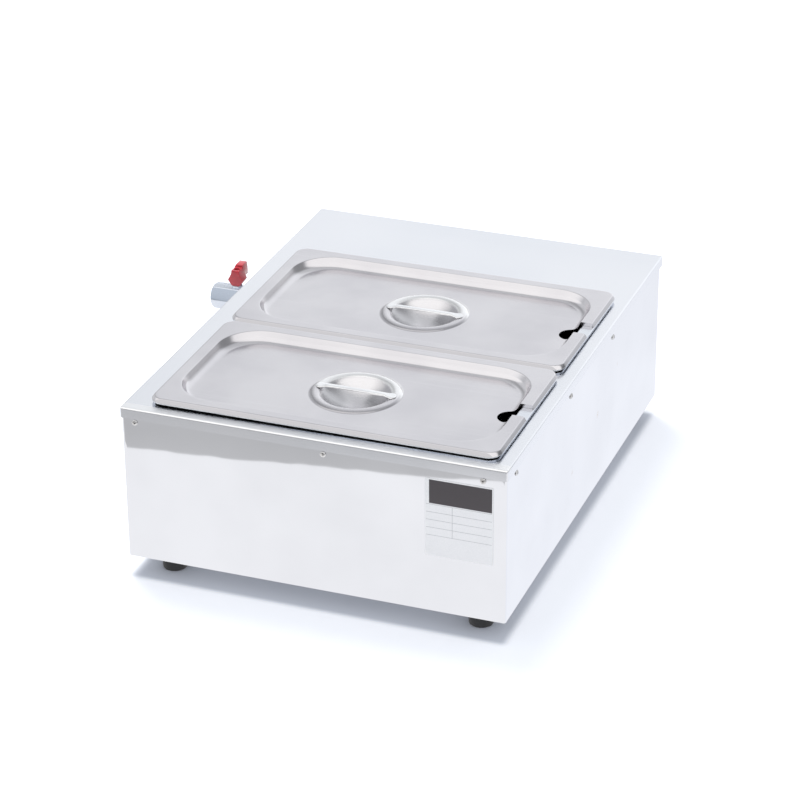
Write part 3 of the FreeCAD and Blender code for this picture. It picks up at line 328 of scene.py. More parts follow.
def plateFinish():
    finish = Finish("plate_film", {"Coat Weight": 0.3, "Coat Roughness": 0.2})
    x, y, z = finish.point.drawing()
    soft, half, edge = plate["soft"], plate["line"] / 2, plate["edge"]

    def between(value, start, end):
        return value.rise(start - soft, start + soft) * value.rise(end + soft, end - soft)

    inside = between(x, plate["left"] + edge, plate["right"] - edge)
    band = between(x, plate["bandLeft"], plate["right"] - edge)
    ink = between(z, plate["bandBottom"], plate["top"] - edge) * band
    lines = [between(z, row - half, row + half) * inside for row in plate["rows"]]
    post = between(x, plate["divider"] - half, plate["divider"] + half)
    lines.append(post * between(z, plate["rows"][-1], plate["rows"][0]))
    for line in lines:
        ink = ink.maths("MAXIMUM", line * plate["lineStrength"])
    fibre = finish.point.noise(1800, 2)
    paper = fibre.rise(0.3, 0.7).tones(plate["paper"], plate["fibre"])
    colour = ink.blend(paper, hexColour(plate["ink"]))
    return finish.feed(colour=colour, roughness=fibre * 0.1 + 0.36, normal=fibre.bump(0.00002, 0.3))


steels = {
    "handle_steel": ("F6F6F7", "E6E6E9", 0.2, 1200, (0.05, 1, 1)),
    "tank_steel": ("C9CCD2", "B4B8BF", 0.3),
    "plain_steel": ("C2C5CB", "AEB2B9", 0.34, 1100, (1, 0.04, 1)),
    "screw_steel": ("E4E3E3", "D0CECC", 0.26, 1800),
    "element_steel": ("8E8B88", "6F6C6A", 0.4, 700),
    "plain_brass": ("D8B66A", "B8944C", 0.28, 1200),
    "nickel_plate": ("E2E7F0", "D2D9E6", 0.28, 1500, (1, 1, 1), valveFacetShade),
    "pipe_steel": ("C4C8CE", "A9ADB4", 0.3, 1200, (0.03, 1, 1)),
    "bulb_copper": ("D08A62", "A9663F", 0.3, 1000),
    "dial_enamel": ("D9DBDF", "CDD0D5", 0.3, 1200, (0.05, 1, 1)),
}
mouldings = {
    "seat_plastic": ("F1F1EE", "E6E6E2", 0.4),
    "red_plastic": ("C2142A", "AA0F24", 0.34, 1500, 0.9),
    "black_plastic": ("1E1E20", "28282B", 0.42),
    "brown_moulding": ("4A2E22", "3B241A", 0.5),
    "white_moulding": ("E4E4DF", "D8D8D2", 0.45),
    "dial_ink": ("2A2A2E", "202024", 0.5),
    "mark_paint": ("F4F4F4", "E8E8E8", 0.5),
    "black_rubber": ("17181A", "222326", 0.62, 900, 0.0, 0.00008),
}
lenses = {"green_lens": ("1F8F4A", "2BA65A"), "amber_lens": ("C8641C", "E08A2C")}
finishes = {"polished_steel": polishedSteel(), "deck_steel": deckSteel(), "lid_steel": lidSteel(),
            "pan_steel": panSteel(), "plate_film": plateFinish()}
for make, looks in ((plainSteel, steels), (moulded, mouldings), (lensFinish, lenses)):
    for name, look in looks.items():
        finishes[name] = make(name, *look)
print("finishes made", len(finishes))


# mesh helpers

def placed(name, data):
    made = bpy.data.objects.new(name, data)
    bpy.context.scene.collection.objects.link(made)
    return made


def meshFrom(shape):
    mesh = bpy.data.meshes.new("part")
    shape.to_mesh(mesh)
    shape.free()
    return mesh


def newPiece(name, shape, finishName, body, *nodes, smooth=35):
    mesh = meshFrom(shape) if isinstance(shape, bmesh.types.BMesh) else shape
    piece = placed(name, mesh)
    mesh.materials.clear()
    mesh.materials.append(finishes[finishName])
    mesh.polygons.foreach_set("use_smooth", [True] * len(mesh.polygons))
    mesh.set_sharp_from_angle(angle=math.radians(smooth))
    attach(piece, body)
    if nodes:
        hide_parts(*nodes)


def baked(helper):
    # the plain mesh of an object with its modifiers run; the object itself goes
    bpy.context.view_layer.update()
    mesh = bpy.data.meshes.new_from_object(helper.evaluated_get(bpy.context.evaluated_depsgraph_get()))
    bpy.data.objects.remove(helper)
    return mesh


def settle(mesh, kind, **settings):
    # runs one modifier on a mesh
    helper = placed("helper", mesh)
    modifier = helper.modifiers.new(kind, kind)
    for name, value in settings.items():
        setattr(modifier, name, value)
    return baked(helper)


def combine(mesh, tool, operation="DIFFERENCE"):
    # cuts a bmesh from a mesh, or joins it to the mesh
    helper = placed("tool", meshFrom(tool))
    mesh = settle(mesh, "BOOLEAN", object=helper, operation=operation, solver="EXACT")
    bpy.data.objects.remove(helper)
    return mesh


def sheetOf(shape, thickness):
    return settle(meshFrom(shape), "SOLIDIFY", thickness=thickness / 1000, offset=-1, use_even_offset=True)


def skin(shape, rows, capped=False, loop=True):
    # quads between rows of vertices; capped closes both ends and faces everything outwards
    count = len(rows[0])
    made = []
    for low, high in zip(rows, rows[1:]):
        for i in range(count if loop else count - 1):
            j = (i + 1) % count
            made.append(shape.faces.new((low[i], low[j], high[j], high[i])))
    if capped:
        made += [shape.faces.new(rows[0][::-1]), shape.faces.new(rows[-1])]
        bmesh.ops.recalc_face_normals(shape, faces=made)


def slab(shape, *outlines):
    # a solid between two or more outlines of placed points
    skin(shape, [[shape.verts.new(point) for point in outline] for outline in outlines], capped=True)


def cylinder(middle, radius, depth, segments, turn=Matrix()):
    shape = bmesh.new()
    sizes = {"radius1": radius / 1000, "radius2": radius / 1000, "depth": depth / 1000}
    place = Matrix.Translation(middle) @ turn
    bmesh.ops.create_cone(shape, cap_ends=True, segments=segments, matrix=place, **sizes)
    return shape


ringSteps = {"corner": 12, "long": 24, "short": 14}


def roundedRing(halfLength, halfWidth, corner, z):
    # counterclockwise from above, always with the same number of points
    corners = []
    for number, (sideX, sideY) in enumerate(((1, 1), (-1, 1), (-1, -1), (1, -1))):
        middle = Vector((sideX * (halfLength - corner), sideY * (halfWidth - corner), z))
        turns = [math.radians(90 * (number + step / ringSteps["corner"])) for step in range(ringSteps["corner"] + 1)]
        corners.append([middle + Vector((corner * math.cos(t), corner * math.sin(t), 0)) for t in turns])
    points = []
    for number, run in enumerate(("long", "short", "long", "short")):
        leave, arrive = corners[number][-1], corners[(number + 1) % 4][0]
        points += corners[number]
        points += [leave.lerp(arrive, step / ringSteps[run]) for step in range(1, ringSteps[run])]
    return points


def circleRing(like, halfLength, halfWidth, radius, z):
    # a circle whose points lie in line with those of a rounded ring
    turns = [math.atan2(point.y / halfWidth, point.x / halfLength) for point in like]
    return [Vector((radius * math.cos(turn), radius * math.sin(turn), z)) for turn in turns]


def addRings(shape, rings, middleX, middleY):
    # rings are in millimetres about the middle
    rows = [[shape.verts.new(at(middleX + p.x, middleY + p.y, p.z)) for p in ring] for ring in rings]
    skin(shape, rows)
    return rows


def loftRings(rings, middleX, middleY, poleZ=None):
    shape = bmesh.new()
    last = addRings(shape, rings, middleX, middleY)[-1]
    if poleZ:
        tip = shape.verts.new(at(middleX, middleY, poleZ))
        for i, point in enumerate(last):
            shape.faces.new((point, last[(i + 1) % len(last)], tip))
    return shape


def arcSteps(count):
    return [math.radians(90 * step / count) for step in range(count + 1)]


def arcPoints(middle, radius, start, end, steps):
    # points on an arc between two angles in degrees
    turns = [math.radians(start + (end - start) * step / steps) for step in range(steps + 1)]
    return [Vector((middle[0] + radius * math.cos(t), middle[1] + radius * math.sin(t))) for t in turns]


# lids

lid = {"length": 325.0, "width": 176.0, "corner": 12.5, "foot": 173.6, "top": 177.0, "edgeSlope": 2.2,
       "edgeRound": 2.0, "sheet": 0.8, "rim": 12.4, "slope": 10.2, "depth": 9.0, "recessCorner": 40.0,
       "lipRound": 1.1, "steep": 64.0, "ringFoot": 41.0, "crest": 1.8, "bowl": 31.0, "bowlDepth": 14.8,
       "notchWidth": 23.0, "notchLength": 30.0}


def lidEdgeLine():
    # from the foot on the pan's rim up the outer slope to the flat rim: (inset, height)
    foot, top = Vector((0, lid["foot"])), Vector((lid["edgeSlope"], lid["top"]))
    lean = math.degrees(math.atan2(top.y - foot.y, top.x - foot.x))
    reach = lid["edgeRound"] * math.tan(math.radians(lean / 2))
    middle = (top.x + reach, top.y - lid["edgeRound"])
    return [foot, foot.lerp(top, 0.1)] + arcPoints(middle, lid["edgeRound"], 90 + lean, 90, 6)


def recessLine():
    # the pressed recess: a tight lip, a steep wall and a long hollow curve into the panel: (inset, height)
    steep, lip, top = lid["steep"], lid["lipRound"], lid["top"]
    turn = math.radians(steep)
    acrossLeft = lid["slope"] - lip * math.sin(turn)
    dropLeft = lid["depth"] - lip * (1 - math.cos(turn))
    # the hollow's radius is what ends the wall at the recess's depth
    hollow = (acrossLeft * math.tan(turn) - dropLeft) / (math.sin(turn) * math.tan(turn) - (1 - math.cos(turn)))
    middle = (lid["rim"] + lid["slope"], top - lid["depth"] + hollow)
    return arcPoints((lid["rim"], top - lip), lip, 90, 90 - steep, 6) + arcPoints(middle, hollow, 270 - steep, 270, 10)


def dishLine():
    # ring, crest and finger bowl turned about the dish's axis: (radius, height over the panel)
    foot = lid["ringFoot"]
    outside, inside = foot + 0.6, lid["bowl"] + 0.3
    line = [(foot + 1.4, 0.0)]
    for step in range(13):
        share = step / 12
        line.append((outside + (inside - outside) * share, lid["crest"] * math.sin(math.pi * share) ** 0.75))
    sphere = (lid["bowl"] ** 2 + lid["bowlDepth"] ** 2) / (2 * lid["bowlDepth"])
    edgeTurn = math.asin(lid["bowl"] / sphere)
    for step in range(14):
        turn = edgeTurn * (0.98 - 0.072 * step)
        line.append((sphere * math.sin(turn), sphere - lid["bowlDepth"] - sphere * math.cos(turn)))
    return line


def makeLid(side):
    centreY = panRow["centres"][side]
    halfX, halfY, corner, slope = lid["length"] / 2, lid["width"] / 2, lid["corner"], lid["edgeSlope"]
    rings = [roundedRing(halfX - p.x, halfY - p.x, corner - p.x, p.y) for p in lidEdgeLine()]
    for share in (0.15, 0.5, 0.85):
        inset = slope + 0.8 + (recessLine()[0].x - slope - 0.8) * share
        grown = corner - slope + (lid["recessCorner"] - corner + slope) * share
        rings.append(roundedRing(halfX - inset, halfY - inset, grown, lid["top"]))
    for p in recessLine():
        grown = lid["recessCorner"] - (p.x - lid["rim"]) * 0.7
        rings.append(roundedRing(halfX - p.x, halfY - p.x, grown, p.y))
    panelZ = lid["top"] - lid["depth"]
    panelX, panelY = halfX - lid["rim"] - lid["slope"], halfY - lid["rim"] - lid["slope"]
    edge = rings[-1]
    foot = circleRing(edge, panelX, panelY, lid["ringFoot"] + 2.2, panelZ)
    rings += [[a.lerp(b, share) for a, b in zip(edge, foot)] for share in (0.08, 0.3, 0.65, 1)]
    rings += [circleRing(edge, panelX, panelY, radius, panelZ + rise) for radius, rise in dishLine()]
    shape = loftRings(rings, panRow["middleX"], centreY, panelZ - lid["bowlDepth"])
    mesh = combine(sheetOf(shape, lid["sheet"]), notchCutter(centreY))
    shape = bmesh.new()
    shape.from_mesh(mesh)
    turnDown(shape, centreY)
    newPiece(side + "Lid", shape, "lid_steel", bodyOf[side + "_lid"], side + "_lid")


def turnDown(shape, centreY):
    # a short wall on each side of the notch, from the rim's sheet down to the pan
    low = lid["foot"] + 0.1
    outline = [(p.x, p.y - 0.2) for p in lidEdgeLine() + recessLine() if p.y > low + 0.3]
    outline = [(outline[0][0], low)] + outline + [(outline[-1][0], low)]
    end = panRow["middleX"] + lid["length"] / 2
    for side in (-1, 1):
        ys = [centreY + side * (lid["notchWidth"] / 2 + out) for out in (0.02, lid["sheet"])]
        slab(shape, *([at(end - inset, y, z) for inset, z in outline] for y in ys))


def notchCutter(centreY):
    # a slot with a round inner end, open at the lid's right edge
    half = lid["notchWidth"] / 2
    endX = panRow["middleX"] + lid["length"] / 2
    outline = [(endX + 6, -half), (endX + 6, half)]
    for turn in range(0, 181, 9):
        across, along = half * math.cos(math.radians(turn)), half * math.sin(math.radians(turn))
        outline.append((endX - lid["notchLength"] + half - along, across))
    shape = bmesh.new()
    slab(shape, *([at(x, centreY + y, z) for x, y in outline] for z in (160, 186)))
    return shape


# lid handles: a flat strap with hammered, welded ends

strap = {"reach": 38.0, "width": 6.0, "thickness": 2.2, "endWidth": 11.0, "endLength": 12.0, "endThickness": 1.2,
         "seat": 169.8,
         "section": ((-1, 0.0), (-1, 0.55), (-0.93, 0.82), (-0.8, 0.95), (-0.55, 1.0), (0, 1.03),
                     (0.55, 1.0), (0.8, 0.95), (0.93, 0.82), (1, 0.55), (1, 0.0))}


def makeStrap(side):
    centreY = panRow["centres"][side]
    reach, half, thick = strap["reach"], strap["width"] / 2, strap["thickness"]
    endHalf, endThick, barEnd = strap["endWidth"] / 2, strap["endThickness"], reach - strap["endLength"]
    # along, half width and thickness from the tip to the bar
    ends = [(reach, half * 0.8, endThick * 0.6), (reach - 0.8, half, endThick * 0.9),
            (reach - 3, endHalf, endThick), (reach - 5.5, endHalf * 0.96, endThick),
            (barEnd + 3.5, half * 1.25, endThick * 1.25), (barEnd + 1.2, half * 1.04, thick * 0.9),
            (barEnd, half, thick), (barEnd * 0.6, half, thick)]
    stations = sorted([(way * x, w, t) for way in (-1, 1) for x, w, t in ends] + [(0.0, half, thick)])
    shape = bmesh.new()
    rows = []
    for x, wide, high in stations:
        section = strap["section"]
        rows.append([at(panRow["middleX"] + x, centreY + a * wide, strap["seat"] + up * high) for a, up in section])
    slab(shape, *rows)
    mesh = settle(meshFrom(shape), "SUBSURF", levels=1, render_levels=1)
    node = side + "_lid_handle"
    newPiece(side + "Strap", mesh, "handle_steel", bodyOf[node], node, smooth=50)


# pans

pan = {"length": 325.0, "width": 176.0, "corner": 12.5, "seat": 170.0, "rimHeight": 3.6, "rimRound": 0.6,
       "footInset": 2.6, "rollZ": 172.3, "flange": 12.5, "wall": 0.8, "depth": 65.0, "taper": 8.0,
       "wellCorner": 38.0, "baseCorner": 32.0, "floorFillet": 12.0, "mouthRound": 2.4}


def panLine():
    # rolled rim, flat flange, mouth, tapered wall and floor fillet: (inset, height, corner radius)
    top, bend, mouth = pan["seat"] + pan["rimHeight"], pan["rimRound"], pan["mouthRound"]
    foot, roll, corner, well = pan["footInset"], pan["rollZ"], pan["corner"], pan["wellCorner"]
    line = [(foot, pan["seat"], corner - foot), (foot, roll - 0.3, corner - foot),
            (foot - 0.3, roll, corner - foot + 0.3), (0.35, roll, corner - 0.35), (0, roll + 0.3, corner)]
    line += [(p.x, p.y, corner - p.x) for p in arcPoints((bend, top - bend), bend, 180, 90, 5)]
    for share in (0.08, 0.5, 0.95):
        grown = corner - bend + (well + mouth - corner + bend) * share
        line.append((bend + (pan["flange"] - mouth - bend) * share, top, grown))
    mouthArc = arcPoints((pan["flange"] - mouth, top - mouth), mouth, 90, 0, 5)
    line += [(p.x, p.y, well + pan["flange"] - p.x) for p in mouthArc]
    floorZ, fillet = top - pan["depth"] + pan["wall"], pan["floorFillet"] - pan["wall"]
    baseInset = pan["flange"] + pan["taper"] * 0.85
    for share in (0.35, 0.7, 1.0):
        inset = pan["flange"] + (baseInset - pan["flange"]) * share
        height = top - mouth - (top - mouth - floorZ - fillet) * share
        line.append((inset, height, well + (pan["baseCorner"] - well) * share))
    floorArc = arcPoints((baseInset + fillet, floorZ + fillet), fillet, 180, 270, 6)[1:]
    return line + [(p.x, p.y, pan["baseCorner"] - p.x + baseInset) for p in floorArc]


def makePan(side):
    halfX, halfY = pan["length"] / 2, pan["width"] / 2
    rings = [roundedRing(halfX - inset, halfY - inset, corner, z) for inset, z, corner in panLine()]
    edge = rings[-1]
    rings += [[Vector((p.x * share, p.y * share, p.z)) for p in edge] for share in (0.97, 0.6, 0.25)]
    shape = loftRings(rings, panRow["middleX"], panRow["centres"][side], edge[0].z)
    newPiece(side + "Pan", sheetOf(shape, pan["wall"]), "pan_steel", bodyOf[side + "_pan"], side + "_pan")


for make in (makeLid, makeStrap, makePan):
    for side in ("near", "far"):
        make(side)
print("lids, handles and pans made")


# deck: one folded sheet with two openings

deck = {"halfWidth": 180.0, "length": 479.0, "top": 170.0, "sheet": 1.2, "lip": 10.0, "fold": 1.8, "corner": 2.2,
        "openingLength": 311.6, "openingWidth": 162.6, "openingCorner": 12.0, "openingRoll": 1.0, "collar": 7.2}


def makeDeck():
    halfX, halfY, bend, top = deck["halfWidth"], deck["length"] / 2, deck["fold"], deck["top"]
    rings = [roundedRing(halfX, halfY, deck["corner"], z) for z in (top - deck["lip"], top - bend - 0.5)]
    for turn in arcSteps(6):
        inset, z = bend * (1 - math.cos(turn)), top - bend + bend * math.sin(turn)
        rings.append(roundedRing(halfX - inset, halfY - inset, deck["corner"] - inset, z))
    rings.append(roundedRing(halfX - bend - 0.4, halfY - bend - 0.4, 0.2, top))
    shape = loftRings(rings, 0, halfY)
    justUnder = at(0, 0, top - 0.01).z
    edges = [edge for edge in shape.edges if edge.is_boundary and all(v.co.z > justUnder for v in edge.verts)]
    holeX, holeY, roll = deck["openingLength"] / 2, deck["openingWidth"] / 2, deck["openingRoll"]
    for centreY in panRow["centres"].values():
        line = [(roll + 0.4, top)]
        line += [(roll - roll * math.sin(t), top - roll + roll * math.cos(t)) for t in arcSteps(4)]
        line.append((0, top - deck["collar"]))
        rings = [roundedRing(holeX + out, holeY + out, deck["openingCorner"] + out, z) for out, z in line]
        first = addRings(shape, rings, panRow["middleX"], centreY)[0]
        edges += [shape.edges.get((point, first[(i + 1) % len(first)])) for i, point in enumerate(first)]
    filled = bmesh.ops.triangle_fill(shape, use_beauty=True, edges=edges, normal=(0, 0, 1))
    for face in filled["geom"]:
        if isinstance(face, bmesh.types.BMFace) and face.normal.z < 0:
            face.normal_flip()
    newPiece("deck", sheetOf(shape, deck["sheet"]), "deck_steel", "cabinet", "top_cover")


# shell: near face and both sides in one wrapped sheet, with a flange under it

shell = {"half": 178.8, "near": 1.2, "far": 471.0, "top": 168.8, "foot": 20.0, "fold": 2.4, "underFold": 1.6,
         "flange": 12.0, "sheet": 1.2, "drainY": 380.0, "drainZ": 104.0, "drainHole": 8.75}


def shellPath(inset):
    # plan of the wrap from the far left corner round the near face to the far right corner
    half, near, bend = shell["half"] - inset, shell["near"] + inset, max(shell["fold"] - inset, 0.3)
    far, run = shell["far"], half - bend
    path = [(-half, far - (far - near - bend) * share) for share in (0, 0.25, 0.5, 0.75, 0.995)]
    path += [(-half + bend * (1 - math.cos(t)), near + bend * (1 - math.sin(t))) for t in arcSteps(6)]
    path += [(-run + 2 * run * share, near) for share in (0.005, 0.25, 0.5, 0.75, 0.995)]
    path += [(half - bend + bend * math.sin(t), near + bend * (1 - math.cos(t))) for t in arcSteps(6)]
    return path + [(half, near + bend + (far - near - bend) * share) for share in (0.005, 0.25, 0.5, 0.75, 1)]


def makeShell():
    shape = bmesh.new()
    bend, foot = shell["underFold"], shell["foot"]
    levels = [(shell["flange"], foot), (bend + 0.4, foot)]
    levels += [(bend * (1 - math.sin(t)), foot + bend * (1 - math.cos(t))) for t in arcSteps(5)]
    levels += [(0, foot + bend + 0.5), (0, 60), (0, 110), (0, shell["top"])]
    skin(shape, [[shape.verts.new(at(x, y, z)) for x, y in shellPath(inset)] for inset, z in levels], loop=False)
    alongX = Matrix.Rotation(math.radians(90), 4, "Y")
    hole = cylinder(at(-177.5, shell["drainY"], shell["drainZ"]), shell["drainHole"], 15, 40, alongX)
    mesh = combine(sheetOf(shape, shell["sheet"]), hole)
    newPiece("wrap", mesh, "polished_steel", "cabinet", "body_shell")


makeDeck()
makeShell()
print("cabinet sheets made")


# every other part keeps its solid's shape, with eased edges

def dress(node, finishName, ease):
    shape = bmesh.new()
    shape.from_mesh(frame["nodes"][node].data)
    bmesh.ops.remove_doubles(shape, verts=shape.verts, dist=2e-6)
    bmesh.ops.dissolve_limit(shape, angle_limit=math.radians(0.6), verts=shape.verts, edges=shape.edges)
    mesh = meshFrom(shape)
    if ease:
        limit = math.radians(38)
        mesh = settle(mesh, "BEVEL", width=ease / 1000, segments=2, limit_method="ANGLE", angle_limit=limit)
    first, *others = node.split("_")
    name = first + "".join(part.capitalize() for part in others)
    newPiece(name, mesh, finishName, bodyOf[node], node, smooth=30)


# node: finish and how far its edges are eased
dressed = {
    "control_panel": ("polished_steel", 0), "base_plate": ("plain_steel", 0), "cover_brackets": ("tank_steel", 0),
    "foot_screws": ("screw_steel", 0), "foot_nuts": ("screw_steel", 0.2), "water_tank": ("tank_steel", 0),
    "heating_element": ("element_steel", 0), "element_nuts": ("plain_brass", 0.3),
    "element_clips": ("tank_steel", 0), "drain_pipe": ("pipe_steel", 0), "drain_lock_nut": ("nickel_plate", 0.3),
    "drain_valve_body": ("nickel_plate", 0.5), "drain_valve_seats": ("seat_plastic", 0),
    "drain_valve_insert": ("nickel_plate", 0), "drain_valve_ball": ("nickel_plate", 0),
    "drain_valve_stem": ("nickel_plate", 0), "drain_gland_nut": ("nickel_plate", 0.2),
    "thermostat_body": ("brown_moulding", 0.4), "thermostat_dial_plate": ("dial_enamel", 0.2),
    "thermostat_spindle": ("pipe_steel", 0), "thermostat_knob": ("black_plastic", 0.4),
    "thermostat_bulb": ("bulb_copper", 0), "bulb_clips": ("tank_steel", 0),
    "power_switch_housing": ("black_plastic", 0.25), "power_switch_rocker": ("green_lens", 0.3),
    "pilot_lamp_body": ("black_plastic", 0.2), "pilot_lamp_lens": ("amber_lens", 0),
    "cable_gland": ("black_plastic", 0.4), "cable_gland_nut": ("black_plastic", 0.3),
    "terminal_block": ("white_moulding", 0.3), "safety_cutout": ("black_plastic", 0.2),
    "near_left_foot": ("black_rubber", 0.5), "near_right_foot": ("black_rubber", 0.5),
    "far_left_foot": ("black_rubber", 0.5), "far_right_foot": ("black_rubber", 0.5),
}
for node, (finishName, ease) in dressed.items():
    dress(node, finishName, ease)
print("parts dressed", len(dressed))


# drain lever: a flared hub over the stem and a plain grip behind it

lever = {"axisX": -232.0, "axisY": 380.0, "hubLength": 10.0, "length": 22.0, "baseWidth": 8.5,
         "flareWidth": 16.6, "flareHeight": 6.0, "neckWidth": 9.4, "neckHeight": 12.5, "topWidth": 7.6,
         "hubHeight": 16.8, "height": 19.0, "recess": 2.8, "recessRadius": 2.9, "ease": 0.6}


def leverPrism(half, start, end, base):
    # half an outline of (across, height), mirrored and drawn out along the cabinet
    outline = half + [(-x, z) for x, z in reversed(half)]
    shape = bmesh.new()
    rows = [[shape.verts.new(at(lever["axisX"] + x, y, base + z)) for x, z in outline] for y in (start, end)]
    shape.faces.new(rows[0])
    shape.faces.new(rows[1][::-1])
    for i in range(len(outline)):
        j = (i + 1) % len(outline)
        shape.faces.new((rows[0][j], rows[0][i], rows[1][i], rows[1][j]))
    bmesh.ops.recalc_face_normals(shape, faces=shape.faces)
    return shape


def makeLever():
    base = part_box("drain_valve_handle")[0].z * 1000
    near = lever["axisY"] - lever["hubLength"] / 2
    hubEnd = near + lever["hubLength"]
    neck, top, neckZ = lever["neckWidth"] / 2, lever["topWidth"] / 2, lever["neckHeight"]
    hubTop = neck - (neck - top) / (lever["height"] - neckZ) * (lever["hubHeight"] - neckZ)
    flare = (lever["flareWidth"] / 2, lever["flareHeight"])
    hub = [(lever["baseWidth"] / 2, 0), flare, (neck, neckZ), (hubTop, lever["hubHeight"])]
    grip = [(neck, lever["flareHeight"]), (neck, neckZ), (top, lever["height"])]
    mesh = meshFrom(leverPrism(hub, near, hubEnd + 1.5, base))
    mesh = combine(mesh, leverPrism(grip, hubEnd, near + lever["length"], base), "UNION")
    middle = at(lever["axisX"], lever["axisY"], base + lever["hubHeight"])
    mesh = combine(mesh, cylinder(middle, lever["recessRadius"], 2 * lever["recess"], 32))
    limit = math.radians(25)
    mesh = settle(mesh, "BEVEL", width=lever["ease"] / 1000, segments=3, limit_method="ANGLE", angle_limit=limit)
    newPiece("drainLever", mesh, "red_plastic", "drain_handle", "drain_valve_handle")


# rating plate, left without words

def makePlate():
    corner = plate["corner"]
    outline = []
    for x, z, start in (("right", "top", 0), ("left", "top", 90), ("left", "bottom", 180), ("right", "bottom", 270)):
        middle = (plate[x] + (-corner if x == "right" else corner), plate[z] + (-corner if z == "top" else corner))
        outline += arcPoints(middle, corner, start, start + 90, 4)
    shape = bmesh.new()
    depths = (plate["front"], plate["front"] + plate["thickness"])
    slab(shape, *([at(p.x, y, p.y) for p in outline] for y in depths))
    mesh = settle(meshFrom(shape), "BEVEL", width=0.0001, segments=2, limit_method="ANGLE")
    newPiece("ratingFilm", mesh, "plate_film", "cabinet", "rating_plate")


makeLever()
makePlate()


# geometry rules

def newTree(name, inputs):
    # a geometry tree with named inputs: returns the tree and a wire for each input
    tree = bpy.data.node_groups.new(name, "GeometryNodeTree")
    for label, kind in inputs.items():
        tree.interface.new_socket(label, in_out="INPUT", socket_type="NodeSocket" + kind)
    tree.interface.new_socket("Geometry", in_out="OUTPUT", socket_type="NodeSocketGeometry")
    group = tree.nodes.new("NodeGroupInput")
    return tree, {label: Wire(group.outputs[label]) for label in inputs}


def endTree(tree, geometry, finish):
    real = geometry.node("GeometryNodeRealizeInstances", None, {"Geometry": geometry})
    painted = real.node("GeometryNodeSetMaterial", None, {"Geometry": real, "Material": finish})
    tree.links.new(painted.socket, tree.nodes.new("NodeGroupOutput").inputs[0])


def runTree(tree, places, values):
    # runs a rule on points, each with the way it faces
    mesh = bpy.data.meshes.new("places")
    mesh.from_pydata([place for place, way in places], [], [])
    ways = mesh.attributes.new("way", "FLOAT_VECTOR", "POINT")
    for value, (place, way) in zip(ways.data, places):
        value.vector = way
    helper = placed("helper", mesh)
    modifier = helper.modifiers.new("rule", "NODES")
    modifier.node_group = tree
    for item in tree.interface.items_tree:
        if item.in_out == "INPUT" and item.name in values:
            modifier[item.identifier] = values[item.name]
    return baked(helper)


# screws: pan heads with a cross recess, one rule for all of them

screw = {"radius": 2.8, "height": 1.4, "leverRadius": 2.6, "leverHeight": 2.0, "cross": 0.9 / 3.3, "crossDepth": 0.8,
         "seed": 5, "near": [(-166, 156.5), (12, 156.5), (157.5, 156.5)], "side": [(26, 156), (181, 156), (312, 156)],
         "under": [(-172.8, 120), (-172.8, 350), (172.8, 120), (172.8, 350),
                   (-110, 7.2), (110, 7.2), (-110, 465), (110, 465)],
         "dial": [(-72, 95), (-48, 95)]}


def screwTree():
    tree, given = newTree("screwHeads", {"Geometry": "Geometry", "Radius": "Float", "Height": "Float",
                                         "Cross": "Float", "Cross Depth": "Float", "Seed": "Int",
                                         "Material": "Material"})
    radius, height, cross = given["Radius"], given["Height"], given["Cross"]
    counts = {"Size X": 1.0, "Size Y": 1.0, "Vertices X": 13, "Vertices Y": 25}
    grid = radius.node("GeometryNodeMeshGrid", None, counts)
    x, y, z = grid.node("GeometryNodeInputPosition").split()
    # x runs from the top to the edge and back under the head, y runs round it
    share = x + 0.5
    arc = (share / 0.85).maths("MINIMUM", 1.0) * (math.pi / 2)
    closing = 1 - ((share - 0.85) / 0.15).maths("MAXIMUM", 0.0)
    spread = (arc.maths("SINE") ** 0.8) * radius * closing
    rise = (arc.maths("COSINE").maths("MAXIMUM", 0.0) ** 0.55) * height
    turn = (y + 0.5) * (2 * math.pi)
    spot = x.vector(spread * turn.maths("COSINE"), spread * turn.maths("SINE"), rise)
    dome = grid.node("GeometryNodeSetPosition", None, {"Geometry": grid, "Position": spot})
    dome = dome.node("GeometryNodeMergeByDistance", None, {"Geometry": dome, "Distance": 0.00001})
    cut = tree.nodes.new("GeometryNodeMeshBoolean")
    cut.operation = "DIFFERENCE"
    tree.links.new(dome.socket, cut.inputs["Mesh 1"])
    lift = height.vector(0.0, 0.0, height)
    bar, depth = radius * 1.15, given["Cross Depth"] * 2
    for size in (radius.vector(bar, cross, depth), radius.vector(cross, bar, depth)):
        block = size.node("GeometryNodeMeshCube", None, {"Size": size})
        block = block.node("GeometryNodeTransform", None, {"Geometry": block, "Translation": lift})
        tree.links.new(block.socket, cut.inputs["Mesh 2"])
    head = Wire(cut.outputs["Mesh"])
    way = head.node("GeometryNodeInputNamedAttribute", {"data_type": "FLOAT_VECTOR"}, {"Name": "way"})
    lean = way.node("FunctionNodeAlignRotationToVector", {"axis": "Z"}, {"Vector": way})
    chance = {2: 0.0, 3: math.pi, "Seed": given["Seed"]}
    spin = way.node("FunctionNodeRandomValue", {"data_type": "FLOAT"}, chance, 1)
    spin = way.node("FunctionNodeAxisAngleToRotation", None, {"Axis": (0, 0, 1), "Angle": spin})
    turns = {"Rotation": lean, "Rotate By": spin}
    turned = lean.node("FunctionNodeRotateRotation", {"rotation_space": "LOCAL"}, turns)
    feeds = {"Points": given["Geometry"], "Instance": head, "Rotation": turned}
    endTree(tree, head.node("GeometryNodeInstanceOnPoints", None, feeds), given["Material"])
    return tree


screwRule = screwTree()


def makeScrews(name, places, node, body="cabinet", radius=screw["radius"], height=screw["height"]):
    values = {"Radius": radius / 1000, "Height": height / 1000, "Cross": screw["cross"] * radius / 1000,
              "Cross Depth": screw["crossDepth"] / 1000, "Seed": screw["seed"],
              "Material": finishes["screw_steel"]}
    newPiece(name, runTree(screwRule, places, values), "screw_steel", body, node)


